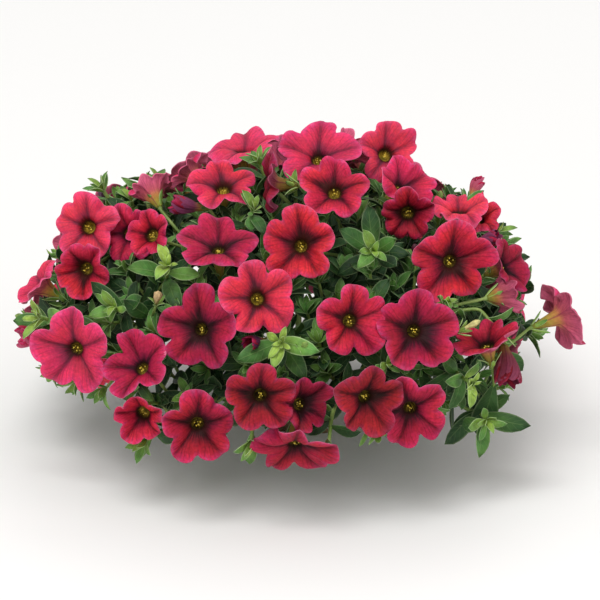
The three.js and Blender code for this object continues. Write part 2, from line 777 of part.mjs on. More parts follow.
function toGeometry(solid) {
  const { numProp, vertProperties, triVerts } = solid.getMesh();
  const count = vertProperties.length / numProp;
  const positions = new Float32Array(count * 3);
  for (let i = 0; i < count; i++) {
    for (let k = 0; k < 3; k++) positions[i * 3 + k] = vertProperties[i * numProp + k];
  }
  const geometry = new THREE.BufferGeometry();
  geometry.setAttribute('position', new THREE.BufferAttribute(positions, 3));
  geometry.setIndex(new THREE.BufferAttribute(new Uint32Array(triVerts), 1));
  geometry.computeVertexNormals();
  return geometry;
}

const joined = (solids) => solids.reduce((all, one) => all.add(one));

// Faces between two rings of indices of one length, seen from outside as they climb.
function band(faces, lower, upper) {
  const n = lower.length;
  for (let i = 0; i < n; i++) {
    const j = (i + 1) % n;
    faces.push([lower[i], lower[j], upper[j]], [lower[i], upper[j], upper[i]]);
  }
}

// How far past the middle of what it grows from a twig or a leaf starts.
const rootPast = { twig: 0.7, leaf: 0.25 };

// A stem of a few sides, tapering to its end, with a pointed root where it forks off.
function stemSolid(line, sides) {
  const points = [];
  const faces = [];
  const rings = [];
  const { corners, radius, forked } = line;
  const steps = corners.length - 1;
  let across = line.u ?? frameAbout(directionOn(line, 1), vec(0, 0, 1), vec(1, 0, 0), 0).u;
  for (let i = steps; i >= (forked ? 1 : 0); i--) {
    const ahead = directionOn(line, Math.min(1, (i + 0.5) / steps));
    const behind = directionOn(line, Math.max(0, (i - 0.5) / steps));
    const tangent = unit(mix([1, ahead], [1, behind]));
    across = unit(mix([1, across], [-across.dot(tangent), tangent]));
    const other = cross(tangent, across);
    const size = radius * (1 + (taper - 1) * (i / steps));
    rings.unshift(ringOf(points, corners[i], across, other, size, sides));
  }
  for (let i = 0; i + 1 < rings.length; i++) band(faces, rings[i], rings[i + 1]);
  points.push(mix([1, corners[0]], [forked ? -rootPast.twig : 0, directionOn(line, 0)]));
  fan(faces, rings[0], points.length - 1, true);
  const last = rings[rings.length - 1];
  if (line.bud) {
    addBudEnd(points, faces, last, line);
  } else if (line.calyx) {
    addCalyxEnd(points, faces, last, line);
  } else {
    points.push(mix([1, corners[steps]], [radius, directionOn(line, 1)]));
    fan(faces, last, points.length - 1, false);
  }
  return solidOf(points, faces);
}

function ringOf(points, middle, u, v, radius, sides, start = 0) {
  return Array.from({ length: sides }, (_, k) => {
    const angle = start + (k / sides) * 2 * Math.PI;
    points.push(mix([1, middle], [radius * Math.cos(angle), u], [radius * Math.sin(angle), v]));
    return points.length - 1;
  });
}

// Faces from a ring to one point: below the ring, or above it.
function fan(faces, ring, point, below) {
  ring.forEach((a, k) => {
    const b = ring[(k + 1) % ring.length];
    faces.push(below ? [b, a, point] : [a, b, point]);
  });
}

// A bud is the swollen end of its pedicel: shares of its length, and radii over its width.
const budProfile = [
  [0.5, 0.36],
  [0.84, 0.5],
];

function addBudEnd(points, faces, last, line) {
  const { length, width } = line.bud;
  const seat = pointOn(line, 1);
  const v = cross(line.axis, line.u);
  let below = last;
  for (const [height, radius] of budProfile) {
    const middle = mix([1, seat], [length * height, line.axis]);
    const ring = ringOf(points, middle, line.u, v, width * radius, last.length);
    band(faces, below, ring);
    below = ring;
  }
  points.push(mix([1, seat], [length, line.axis]));
  fan(faces, below, points.length - 1, false);
}

// A calyx is a star of five narrow points that the pedicel opens into.
function addCalyxEnd(points, faces, last, line) {
  const seat = mix([1, pointOn(line, 1)], [calyxShape.sunk, line.axis]);
  const v = cross(line.axis, line.u);
  const rim = [];
  for (let k = 0; k < 10; k++) {
    const tip = k % 2 === 0;
    const angle = 36 * k * rad;
    const out = tip ? calyxShape.tip : calyxShape.notch;
    const rise = tip ? calyxShape.tipRise : calyxShape.notchRise;
    points.push(
      mix([1, seat], [out * Math.cos(angle), line.u], [out * Math.sin(angle), v], [rise, line.axis]),
    );
    rim.push(points.length - 1);
  }
  const sides = last.length;
  const nearestCorner = (k) => Math.floor((k * sides) / 10 + 0.5) % sides;
  for (let k = 0; k < 10; k++) {
    const next = (k + 1) % 10;
    const corner = nearestCorner(k);
    const turned = nearestCorner(k + 1);
    faces.push([last[corner], rim[next], rim[k]]);
    if (turned !== corner) faces.push([last[corner], last[turned], rim[next]]);
  }
  points.push(seat);
  fan(faces, rim, points.length - 1, false);
}

// ---- an open bloom -------------------------------------------------------------------------

function bloomSolid(bloom) {
  const shape = bloomShape;
  const points = [];
  const add = (radius, degrees, height) => {
    const angle = degrees * rad;
    points.push(
      mix(
        [1, bloom.mouth],
        [radius * Math.cos(angle), bloom.u],
        [radius * Math.sin(angle), bloom.v],
        [height, bloom.axis],
      ),
    );
    return points.length - 1;
  };
  const ring = (count, radius, height, start) =>
    Array.from({ length: count }, (_, k) => add(radius, start + (360 / count) * k, height));
  const edge = [];
  for (let k = 0; k < 5; k++) {
    const { length, lift } = bloom.lobes[k];
    const before = bloom.lobes[(k + 4) % 5];
    const reach = bloom.radius * length;
    const notch = bloom.radius * shape.notchShare * 0.5 * (length + before.length);
    edge.push(add(notch, 72 * k - 36, 0.5 * (lift + before.lift)));
    edge.push(add(reach, 72 * k - shape.shoulderAngle, lift));
    edge.push(add(reach, 72 * k + shape.shoulderAngle, lift));
  }
  const mid = bloom.radius * shape.midShare;
  const upperMid = ring(5, mid, -shape.midDepth, 0);
  const lowerMid = ring(5, mid, -shape.midDepth - shape.wall, 0);
  const throat = ring(5, shape.throatRadius, -shape.throatDepth, 0);
  const floor = add(0, 0, -shape.throatFloor);
  const tubeTop = ring(5, shape.tubeTopRadius, -shape.tubeTopDepth, 0);
  const tubeBase = ring(5, shape.baseRadius, -bloom.tube, 0);
  const faces = [];
  const limb = (midRing, flip) => {
    const push = (a, b, c) => faces.push(flip ? [a, c, b] : [a, b, c]);
    for (let k = 0; k < 5; k++) {
      const next = (k + 1) % 5;
      const m = midRing[k];
      push(m, edge[3 * k], edge[3 * k + 1]);
      push(m, edge[3 * k + 1], edge[3 * k + 2]);
      push(m, edge[3 * k + 2], edge[3 * next]);
      push(m, edge[3 * next], midRing[next]);
    }
  };
  limb(upperMid, false);
  limb(lowerMid, true);
  band(faces, upperMid, throat);
  for (let k = 0; k < 5; k++) faces.push([throat[k], throat[(k + 1) % 5], floor]);
  band(faces, tubeTop, lowerMid);
  band(faces, tubeBase, tubeTop);
  for (let k = 1; k < 4; k++) faces.push([tubeBase[0], tubeBase[k + 1], tubeBase[k]]);
  return solidOf(points, faces);
}

// ---- a leaf, folded along its midrib -------------------------------------------------------

function leafSolid(leaf) {
  const points = [mix([1, leaf.root], [-rootPast.leaf, leaf.along])];
  const faces = [];
  const small = leaf.length < smallLeaf;
  const rings = (small ? smallStations : stations).map((share, i) => {
    const half = stationWidth[i];
    const first = points.length;
    points.push(leafPoint(leaf, share, -half, 0));
    points.push(leafPoint(leaf, share, 0, -leafShape.thick));
    points.push(leafPoint(leaf, share, half, 0));
    return [first, first + 1, first + 2];
  });
  points.push(leafPoint(leaf, 1, 0, -leafShape.thick * leafShape.tipThick));
  fan(faces, rings[0], 0, true);
  if (!small) band(faces, rings[0], rings[1]);
  fan(faces, rings.at(-1), points.length - 1, false);
  return solidOf(points, faces);
}

// ---- nodes ---------------------------------------------------------------------------------

function leafyStem(stem) {
  const solids = byStem(stem).map((line) => stemSolid(line, line.bud ? 5 : line.twig ? 3 : 4));
  leaves.filter((leaf) => leaf.stem === stem).forEach((leaf) => solids.push(leafSolid(leaf)));
  blooms.filter((bloom) => bloom.stem === stem).forEach((bloom) => solids.push(bloomSolid(bloom)));
  return joined(solids);
}

function crownSolid() {
  const { footRadius, headRadius, headHeight, headStart, sides } = crown;
  const profile = [
    new THREE.Vector2(0, 0),
    new THREE.Vector2(footRadius, 0),
    new THREE.Vector2(footRadius - crown.footSlope, crown.footRise),
    new THREE.Vector2(crown.flareRadius, crown.flareHeight),
    new THREE.Vector2(crown.waist, crown.waistHeight),
  ];
  const steps = 5;
  for (let i = 0; i < steps; i++) {
    const angle = (headStart + (90 - headStart) * (i / steps)) * rad;
    const radius = headRadius * Math.cos(angle);
    profile.push(new THREE.Vector2(radius, headHeight + headRadius * Math.sin(angle)));
  }
  profile.push(new THREE.Vector2(0, headHeight + headRadius));
  const geometry = new THREE.LatheGeometry(profile, sides);
  geometry.rotateX(Math.PI / 2);
  return geometry;
}

const plant = new THREE.Group();

function addNode(name, geometry, color, roughness) {
  const material = new THREE.MeshStandardMaterial({ color, roughness, metalness: 0 });
  const mesh = new THREE.Mesh(geometry, material);
  mesh.name = name;
  plant.add(mesh);
}

addNode('crown', crownSolid(), '#8a7350', 0.9);
for (let stem = 1; stem <= stems.length; stem++) {
  addNode(`leafy_stem_${pad(stem)}`, toGeometry(leafyStem(stem)), '#4f7d2c', 0.6);
}

const scarlet = new THREE.Color('#c4162a');
const magenta = new THREE.Color('#a50f52');
const groups = metBlooms.map((names) => blooms.filter((bloom) => names.includes(bloom.name)));
const alone = (bloom) => !bloom.fused && !metBlooms.flat().includes(bloom.name);
const single = blooms.filter(alone).map((bloom) => [bloom]);
for (const members of [...single, ...groups]) {
  const name = members.length > 1 ? `blooms_${members[0].name}` : `bloom_${members[0].name}`;
  const color = scarlet.clone().lerp(magenta, members[0].tone);
  addNode(name, toGeometry(joined(members.map(bloomSolid))), color, 0.55);
}

export default plant;
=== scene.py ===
import math

import bpy
import numpy as np
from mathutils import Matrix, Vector


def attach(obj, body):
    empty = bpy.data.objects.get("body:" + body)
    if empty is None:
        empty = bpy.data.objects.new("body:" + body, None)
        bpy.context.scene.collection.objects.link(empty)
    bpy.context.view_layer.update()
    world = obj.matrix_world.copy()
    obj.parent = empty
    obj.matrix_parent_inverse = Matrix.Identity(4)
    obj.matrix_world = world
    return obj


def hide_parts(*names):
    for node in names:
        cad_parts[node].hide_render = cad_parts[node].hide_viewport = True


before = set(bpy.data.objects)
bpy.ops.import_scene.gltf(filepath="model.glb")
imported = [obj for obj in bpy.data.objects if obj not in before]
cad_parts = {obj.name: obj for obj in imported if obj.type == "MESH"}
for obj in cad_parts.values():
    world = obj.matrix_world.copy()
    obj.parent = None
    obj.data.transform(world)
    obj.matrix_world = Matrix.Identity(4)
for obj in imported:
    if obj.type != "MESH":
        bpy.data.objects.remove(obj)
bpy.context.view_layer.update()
print("frame loaded:", len(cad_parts), "nodes")

# A calibrachoa in full flower. The plan of the plant is in millimetres and the meshes are in metres.
# Blooms, stems, shoots and leaves grow here by the same rules as in the frame, so each fine piece
# lies where its plain solid does.

metres = 0.001
mound = {
    "radius": 123, "middle": 49.5, "rise": 76, "drop": 49.5,
    "rightRadius": 106, "backRadius": 106, "backRise": 68,  # it is smaller towards its right and its back
}
layoutSlope = 21  # degrees: the blooms are laid out in two elevations that look down by this
restGap = 0.4
touchGap = 0.3

bloomShape = {
    "tubeShare": 0.55, "baseRadius": 1.2, "tubeTopRadius": 3.5, "tubeTopDepth": 6.2, "over": 2, "past": 0.5,
    "flare": 5, "lobes": 5, "shortest": 0.97, "longer": 0.08, "wave": 1.1, "below": 1,
}
calyxShape = {"seat": 1.1, "sunk": 0.5}
stemRadii = {"pedicel": 0.85, "shoot": 1.0, "branch": 1.25, "stem": 1.6, "taper": 0.8}
straights = {"stem": 4, "branch": 3, "longTwig": 3, "twig": 2}  # how many straight pieces each line has
crownShape = {"head": 9, "headHeight": 15}
leafShape = {"width": 0.4, "thick": 1.2, "fold": 0.44, "droop": 0.12}
goldenTurn = 137.5
filler = {
    "places": 110, "span": 1.34, "depth": 6, "sink": 55, "start": 0.1, "aside": 0.3, "room": 26,
    "width": 26, "spread": 5, "lean": 0.3,
}
generator = {"times": 16807, "modulus": 2147483647, "step": 7919, "offset": 12345}
seeds = {  # where the random draws of each kind of piece start
    "front": 100, "rear": 160, "filler": 900, "stem": 500, "thicket": 2000, "along": 4000, "heart": 6000,
    "bloom": 7000, "closing": 8000, "leaf": 9000, "crown": 31,
}
fillerShoots = {"places": 60, "depth": 14, "room": 34, "count": 5, "leafLength": 17}
lowestShoot = 8
lowestTwig = 3
faceRoom = {"ahead": 24, "share": 0.8}  # no leaf hangs before the middle of a bloom, nearer than this
clearance = {
    "pedicel": 1.6, "shoot": 1.8, "bud": 0.6, "bloom": 2, "leaf": 1.3, "ownLeaf": 2.6,
    "lines": 3.8, "budLines": 4,
}

# name, across, up, width of the limb, pan, tilt, roll, reach, tone (0 scarlet to 1 magenta)
frontBlooms = [
    ("01", -91, 40, 28.5, -16, 6, 0, 5, 0.25),
    ("02", -74, 37, 26, -20, 4, 20, -17, 0.8),
    ("03", -64.5, 37, 22, -30, 15, 10, 4, 0.6),
    ("04", -92, 21, 24, -20, -10, 30, -7, 0.35),
    ("05", -113, 17, 25, -72, 32, 0, 0, 0.6),
    ("07", -32.5, 58.5, 30, 0, 46, 10, 2, 0.4),
    ("08", -24, 76, 31, -5, 80, 0, 0, 0.7),
    ("09", -50, 65, 22, -102, 40, 0, -6, 0.9),
    ("10", -64, 57, 20, -135, 56, 0, -4, 0.85),
    ("12", -15.5, 57.5, 27, -84, 2, 0, -1, 0.6),
    ("13", -34.5, 33, 36, -5, 50, 0, -2, 0.95),
    ("14", -0.5, 31.5, 32, -10, 5, 0, 2, 0.1),
    ("15", -17, 9.5, 32, 8, 6, 15, 6, 0.15),
    ("16", -42.5, -3.5, 36.5, -18, 0, 0, 0, 0.85),
    ("17", -68, -18, 31, -30, 22, 25, -2, 0.9),
    ("18", -95.5, -13, 36, -22, -16, 0, 2, 0.75),
    ("19", -67, -40.5, 22, -22, -26, 0, -2, 0.45),
    ("20", -42.5, -44.5, 31.5, 2, -22, 0, 0, 0.5),
    ("21", -16.5, -32, 30, 0, -16, 0, 6, 0.2),
    ("22", 2.5, -34.5, 23, 34, 0, 20, -2.5, 0.7),
    ("23", -2, -55, 34, 0, -58, 0, 2, 0.55),
    ("24", 22, 0, 31, 18, 0, 0, 4, 0.5),
    ("25", 48.5, -4, 34.5, 15, 3, 0, 2.7, 0.7),
    ("26", 28.8, -33, 29.5, 26, -20, 0, 4, 0.1),
    ("27", 46, -38.5, 33, 4, -28, 20, -3, 0.65),
    ("28", 64, 24.5, 34.5, 14, -4, 0, 0, 0.3),
    ("29", 45.5, 57.5, 28, 50, 30, 0, 1.5, 0.8),
    ("30", 45.5, 44, 23, 0, -16, 0, -10, 0.4),
    ("31", 38, 72.5, 27, 20, 22, 0, 0, 0.35),
    ("32", 7.5, 71.5, 35, -5, 40, 0, -4, 0.9),
    ("33", 14.5, 56, 30, 0, 30, 0, 6, 0.45),
    ("34", 21.5, 74, 18, 150, 30, 0, -10, 0.9),
    ("35", 67.5, 49.5, 23, 5, 74, 0, -2, 0.2),
    ("37", 76, 46, 20, 18, 52, 0, -2, 0.25),
    ("40", 89, 24, 25, 58, 22, 0, 0, 0.85),
    ("41", 114, 3, 32, 108, 20, 0, 0, 0.5),
    ("42", 87.5, 11, 18, 110, 10, 0, -6, 0.8),
    ("43", 77, -7, 27, -20, 52, 0, 2, 0.45),
]
rearBlooms = [
    ("51", -74, 5, 28, -30, 2, 0, -22, 0.6),
    ("52", -57, 21, 28, -24, 8, 30, -13, 0.3),
    ("53", -30, 40, 30, -12, 22, 0, -3, 0.8),
    ("54", -4.5, 44, 30, 6, 22, 15, -1, 0.2),
    ("55", 30, 42, 30, 8, 22, 0, -3, 0.5),
    ("56", 52, 34, 28, 26, 16, 0, -10, 0.9),
    ("57", 84, 15, 29, 40, 4, 0, -7, 0.3),
    ("58", -62, -14, 31, -30, -6, 10, -8, 0.85),
    ("59", -43, 0, 30, -14, 2, 20, -3, 0.4),
    ("60", -14, 14, 31, -15, 8, 0, 0, 0.7),
    ("61", 10.5, 10, 32, 10, 6, 0, -1.5, 0.15),
    ("62", 42, 8, 31, 5, 6, 0, -5, 0.6),
    ("63", 64, 1, 30, 30, 0, 30, -6, 0.35),
    ("64", 99, -8, 28, 46, 0, 0, 0, 0.5),
    ("65", -90, -23, 27, -50, -8, 15, -10, 0.2),
    ("66", -66.5, -43, 29, -26, -16, 0, 0, 0.9),
    ("67", -45, -33, 30, -4, -10, 0, -9, 0.45),
    ("68", -10, -24, 31, -13, -6, 20, 0, 0.3),
    ("69", 14.5, -21, 30, 10, -4, 0, 2, 0.75),
    ("70", 49, -28, 30, 7, -10, 0, 0, 0.5),
    ("71", 69, -33, 29, 30, -14, 10, 4.5, 0.25),
    ("72", -18, -54, 30, -6, -32, 0, 0, 0.8),
    ("73", 20, -54, 31, 8, -34, 0, 0, 0.2),
]

# The blooms whose petals meet, in pairs
metBlooms = [
    ("16", "17"), ("21", "22"), ("24", "25"), ("29", "30"), ("35", "37"), ("40", "42"), ("51", "52"),
    ("53", "54"), ("55", "56"), ("58", "59"), ("60", "61"), ("62", "63"), ("66", "67"), ("68", "69"),
    ("70", "71"),
]

# Buds and closing blooms: across, up, length, width, pan, tilt, reach, kind
frontBuds = [
    (-117, -7, 15, 4.5, -80, 2, 0, "pink"),
    (-52, 49, 14, 4, -80, 8, 0, "dark"),
    (83, 35, 12, 4.5, 74, 14, -2, "dark"),
    (87, -24, 19, 4.5, 25, -72, 0, "red"),
    (-21, -9.5, 11, 4.5, -40, -10, -3, "purple"),
    (48, 32, 9, 3, -10, 50, -4, "dark"),
    (60, 55, 10, 3, 24, 55, 0, "green"),
    (11, -40, 9, 3, 10, 40, 0, "dark"),
    (-86, 57, 9, 3, -30, 60, 0, "purple"),
    (-122, 2, 7, 2.4, -80, 10, 0, "green"),
    (-59, 12, 9, 3.6, 10, 40, 2, "tan"),
    (75, 0, 11, 2.6, 70, 25, 0, "pale"),
    (3, -9, 8, 2.6, 30, 20, 0, "green"),
]
rearBuds = [
    (-10, 34, 12, 4, 20, 30, 0, "pink"),
    (44, -8, 9, 3, -20, 25, 0, "green"),
    (-78, 10, 10, 3.4, -30, 20, 0, "pink"),
    (-62, -52, 14, 4.4, -10, -50, 0, "dark"),
]

# Leafy shoots: across, up, pan, tilt, reach, number of leaves, leaf length
frontShoots = [
    (-110, 1, -40, 10, -6, 6, 20),
    (-77, 5, -15, 10, -8, 6, 17),
    (-55, 23, -5, 25, -6, 6, 21),
    (-8, -9, -10, 5, -4, 6, 20),
    (31, 29, 5, 15, -6, 7, 20),
    (19, 70, 0, 40, -8, 4, 16),
    (71, -26, 20, -5, -6, 7, 17),
    (78, -42, 25, -30, -6, 4, 22),
    (83, 8, 30, 10, -8, 5, 18),
    (-20, 46, 0, 30, -9, 5, 16),
    (-17, 66, 0, 45, -9, 5, 16),
    (-72, 51, -20, 35, -8, 5, 15),
    (60, 8, 10, 5, -8, 5, 18),
    (-84, 55, -40, 35, -6, 4, 14),
    (-20, -50, 0, -45, -6, 4, 15),
    (12, -50, 0, -45, -6, 4, 15),
    (-64, -50, -15, -45, -6, 4, 15),
    (82, 38, 40, 30, -10, 5, 14),
    (36, -18, 5, -5, -9, 5, 16),
]
rearShoots = [
    (-88, 2, -30, 5, -10, 6, 16),
    (-64, 26, -12, 20, -7, 6, 18),
    (-36, 34, -5, 25, -7, 5, 17),
    (-4, 32, 0, 20, -7, 6, 18),
    (31, 36, 10, 25, -7, 4, 17),
    (62, 26, 15, 15, -7, 6, 18),
    (-46, -6, -5, 5, -6, 6, 18),
    (-13, -4, 0, 0, -7, 6, 18),
    (44, -13, 10, 0, -7, 5, 18),
    (80, -14, 25, 0, -6, 6, 18),
    (-60, -46, -10, -40, -6, 5, 16),
    (-6, -40, 0, -20, -7, 5, 17),
    (31, -40, 5, -30, -7, 5, 16),
    (-90, -24, -30, -10, -6, 6, 17),
    (2, 63, 0, 45, -9, 5, 16),
    (-38, 62, -15, 45, -9, 5, 16),
    (66, 50, 25, 35, -8, 5, 16),
]


def vec(x, y, z):
    return np.array([x, y, z], float)


def unit(v):
    return v / math.sqrt(v @ v)


def cross(a, b):
    return vec(a[1] * b[2] - a[2] * b[1], a[2] * b[0] - a[0] * b[2], a[0] * b[1] - a[1] * b[0])


# Random draws from 0 to 1, the same in every run.
def seeded(seed):
    state = (seed * generator["step"] + generator["offset"]) % generator["modulus"]

    def draw():
        nonlocal state
        state = state * generator["times"] % generator["modulus"]
        return state / generator["modulus"]

    return draw


# A draw from -1 to 1.
def swing(draw):
    return 2 * draw() - 1


def polar(radius, turn, height):
    return vec(radius * math.cos(math.radians(turn)), radius * math.sin(math.radians(turn)), height)


up = vec(0, 0, 1)
side = vec(1, 0, 0)
cosSlope = math.cos(math.radians(layoutSlope))
sinSlope = math.sin(math.radians(layoutSlope))


def elevation(turn, depth, rise):
    across = math.cos(math.radians(turn))
    along = math.sin(math.radians(turn))
    return {
        "depth": depth,
        "rise": rise,
        "right": vec(across, along, 0),
        "up": vec(-along * sinSlope, across * sinSlope, cosSlope),
        "toward": vec(along * cosSlope, -across * cosSlope, sinSlope),
    }


front = elevation(0, mound["radius"], mound["rise"])
rear = elevation(180, mound["backRadius"], mound["backRise"])


# The point of the mound's surface at a place of an elevation, moved by reach towards the viewer.
def onMound(view, across, height, reach):
    q = across * view["right"] + height * view["up"]
    t = view["toward"]
    for half in (view["rise"], mound["drop"]):
        wide = mound["radius"] ** 2
        deep = view["depth"] ** 2
        tall = half ** 2
        a = t[0] * t[0] / wide + t[1] * t[1] / deep + t[2] * t[2] / tall
        b = 2 * (q[0] * t[0] / wide + q[1] * t[1] / deep + q[2] * t[2] / tall)
        c = q[0] * q[0] / wide + q[1] * q[1] / deep + q[2] * q[2] / tall - 1
        depth = (-b + math.sqrt(max(b * b - 4 * a * c, 0))) / (2 * a)
        if q[2] + depth * t[2] >= 0:
            break
    return q + (depth + reach) * t + mound["middle"] * up


def facing(view, pan, tilt):
    pan, tilt = math.radians(pan), math.radians(tilt)
    level = math.cos(tilt)
    return (math.sin(pan) * level * view["right"] + math.sin(tilt) * view["up"]
            + math.cos(pan) * level * view["toward"])


# The direction nearest to a vector that is square to another.
def squareTo(vector, along):
    return unit(vector - (vector @ along) * along)


# Two directions square to an axis and to each other. The first lies nearest to the hint, or to the
# other direction where the hint is too near the axis.
def frameAbout(axis, hint, other, roll=0, tooNear=0.1):
    flat = hint - (hint @ axis) * axis
    if math.sqrt(flat @ flat) <= tooNear:
        flat = other - (other @ axis) * axis
    u = unit(flat)
    v = cross(axis, u)
    turn = math.radians(roll)
    return math.cos(turn) * u + math.sin(turn) * v, math.cos(turn) * v - math.sin(turn) * u


# A place raised until what hangs lowest there clears the surface that the plant rests on.
def raised(place, lowest):
    return place + max(restGap - lowest, 0) * up


# The plan of an open bloom: its mouth, its frame and its five lobes.
def shapeBloom(mouth, axis, width, roll, draw, hint):
    shape = bloomShape
    radius = width / 2
    hang = (radius + shape["below"]) * math.sqrt(1 - axis[2] ** 2)
    mouth = raised(mouth, mouth[2] - hang - shape["below"])
    u, v = frameAbout(axis, hint, side, roll)
    lobes = [(shape["shortest"] + shape["longer"] * draw(), shape["wave"] * swing(draw))
             for _ in range(shape["lobes"])]
    tube = width * shape["tubeShare"]
    return {"radius": radius, "axis": axis, "mouth": mouth, "u": u, "v": v, "lobes": lobes,
            "tube": tube, "base": mouth - tube * axis, "fused": False}


def placeBloom(view, row, seed):
    name, across, height, width, pan, tilt, roll, reach, tone = row
    mouth = onMound(view, across, height, reach)
    axis = facing(view, pan, tilt)
    bloom = shapeBloom(mouth, axis, width, roll, seeded(seed), view["up"])
    bloom.update(name=name, tone=tone)
    return bloom


# Places spread evenly over the mound, with the direction that its surface faces there.
def spreadPlace(i, count, depth, span):
    level = 1 - span * (i + 0.5) / count
    turn = math.radians(goldenTurn * i)
    flat = math.sqrt(1 - level * level)
    across = flat * math.cos(turn)
    along = flat * math.sin(turn)
    back = max(0, math.sin(turn))
    wide = mound["radius"] - max(0, math.cos(turn)) * (mound["radius"] - mound["rightRadius"])
    deep = mound["radius"] - back * (mound["radius"] - mound["backRadius"])
    half = mound["rise"] - back * (mound["rise"] - mound["backRise"]) if level > 0 else mound["drop"]
    normal = unit(vec(across / wide, along / deep, level / half))
    place = vec(wide * across, deep * along, mound["middle"] + half * level)
    forward = normal @ front["toward"]
    deeper = depth + filler["sink"] * max(0, forward + filler["start"])
    return place, normal, deeper, forward


def listBlooms(chosen):
    return {key: np.array([bloom[key] for bloom in chosen]) for key in ("mouth", "axis", "radius", "tube")}


# How far points lie before blooms' mouths, and how far out from their axes, squared.
def beforeMouths(points, limbs):
    away = np.asarray(points)[:, None, :] - limbs["mouth"]
    height = (away * limbs["axis"]).sum(2)
    return height, (away ** 2).sum(2) - height ** 2


# Which points come within margin of which blooms' limbs or tubes.
def nearBlooms(points, limbs, margin):
    shape = bloomShape
    height, out = beforeMouths(points, limbs)
    out = np.sqrt(np.maximum(out, 0))
    tube = limbs["tube"]
    share = (height + tube) / (tube - shape["tubeTopDepth"])
    narrow = out < shape["baseRadius"] + (shape["tubeTopRadius"] - shape["baseRadius"]) * share + margin
    flared = np.minimum(1, (out - shape["tubeTopRadius"]) / shape["flare"])
    under = (shape["tubeTopDepth"] - shape["over"]) * flared - shape["tubeTopDepth"]
    hit = np.where(height < -shape["tubeTopDepth"], narrow, height > under - margin)
    hit &= (height <= shape["over"] + margin) & (height >= -tube - margin)
    return hit & (out <= limbs["radius"] + shape["past"] + margin)


def clearOfBlooms(points, margin, own=None):
    hit = nearBlooms(points, limbs, margin)
    if own is not None:
        hit[:, own] = False
    return not hit.any()


# Which points hang before which blooms' faces.
def beforeBlooms(points):
    height, out = beforeMouths(points, limbs)
    return (height >= 0) & (height <= faceRoom["ahead"]) & (out < (limbs["radius"] * faceRoom["share"]) ** 2)


blooms = [placeBloom(front, row, seeds["front"] + i) for i, row in enumerate(frontBlooms)]
blooms += [placeBloom(rear, row, seeds["rear"] + i) for i, row in enumerate(rearBlooms)]
limbs = listBlooms(blooms)

# Where the stems of each ring end, leave the crown and bend, in turns, radii and heights
centreStem = {"turn": 250, "radius": 4, "height": 100, "leave": 88, "bendRadius": 3, "bendHeight": 60}
upperRing = {"count": 4, "radius": 46, "height": 92, "leave": 66, "bendRadius": 16, "bendHeight": 66}
lowerRings = [
    {"radius": 86, "height": 54, "leave": 40, "bendRadius": 42, "bendHeight": 68},
    {"radius": 88, "height": 27, "leave": 14, "bendRadius": 46, "bendHeight": 46},
]
lowerCount = 8
sideBranch = {"from": 0.5, "radius": 76, "height": 74, "turn": 22.5, "ahead": 18, "rise": 6}
offsets = {"upper": 0.5, "lower": 0.25}  # how far round each ring starts, as a share of its spacing
lineStep = 3  # how far apart a line's clearances are tested

lines = []  # every stem, branch, shoot and pedicel, with the leafy stem it belongs to
stems = []
reached = {"points": np.zeros((0, 3)), "stems": np.zeros(0, int)}


def quadratic(a, b, c):
    return lambda t: (1 - t) ** 2 * a + 2 * t * (1 - t) * b + t * t * c


def cubic(a, b, c, d):
    return lambda t: (1 - t) ** 3 * a + 3 * t * (1 - t) ** 2 * b + 3 * t * t * (1 - t) * c + t ** 3 * d


def pieceOf(line, share):
    pieces = len(line["corners"]) - 1
    at = min(int(share * pieces), pieces - 1)
    return line["corners"][at], line["corners"][at + 1], share * pieces - at


def pointOn(line, share):
    start, end, part = pieceOf(line, share)
    return (1 - part) * start + part * end


def directionOn(line, share):
    start, end, _ = pieceOf(line, share)
    return unit(end - start)


def lineAlong(curve, steps, radius, stem):
    corners = [curve(i / steps) for i in range(steps + 1)]
    line = {"corners": corners, "radius": radius, "stem": stem, "twig": False}
    line["length"] = sum(math.dist(a, b) for a, b in zip(corners, corners[1:]))
    count = max(3, math.ceil(line["length"] / lineStep))
    line["points"] = np.array([pointOn(line, i / count) for i in range(count + 1)])
    return line


def keepLine(line):
    lines.append(line)
    count = len(line["points"])
    reached["points"] = np.vstack([reached["points"], line["points"]])
    reached["stems"] = np.append(reached["stems"], np.full(count, line["stem"]))


crownHead = crownShape["headHeight"] * up


# An arching stem out of the crown's head, with a side branch where a turn is given for it.
def addStem(ring, turn, branchTurn=None):
    stem = len(stems) + 1
    leave = math.radians(ring["leave"])
    start = crownHead + (crownShape["head"] + touchGap) * polar(math.cos(leave), turn, math.sin(leave))
    bend = polar(ring["bendRadius"], turn, ring["bendHeight"])
    end = polar(ring["radius"], turn, ring["height"])
    main = lineAlong(quadratic(start, bend, end), straights["stem"], stemRadii["stem"], stem)
    keepLine(main)
    stems.append(main)
    if branchTurn is None:
        return
    start = pointOn(main, sideBranch["from"])
    along = directionOn(main, sideBranch["from"])
    end = polar(sideBranch["radius"], turn + branchTurn, sideBranch["height"])
    middle = start + sideBranch["ahead"] * along + sideBranch["rise"] * up
    keepLine(lineAlong(quadratic(start, middle, end), straights["branch"], stemRadii["branch"], stem))


addStem(centreStem, centreStem["turn"])
for i in range(upperRing["count"]):
    addStem(upperRing, 360 / upperRing["count"] * (i + offsets["upper"]))
for i in range(lowerCount):
    addStem(lowerRings[i % 2], 360 / lowerCount * (i + offsets["lower"]), sideBranch["turn"])

bow = {"leave": 0.12, "straight": 0.2, "arrive": 0.5}
fork = {"lowest": 0.3, "shortest": 6, "tries": 60, "longTwig": 26, "lengthCost": 2}


# The places on the stems and branches where a twig can fork off: line, share and point.
def listForks():
    found = []
    for at, line in enumerate(lines):
        if not line["twig"]:
            shares = np.arange(len(line["points"])) / (len(line["points"]) - 1)
            found += [(at, share, point) for share, point in zip(shares, line["points"])
                      if share >= fork["lowest"]]
    return [np.array(column) for column in zip(*found)]


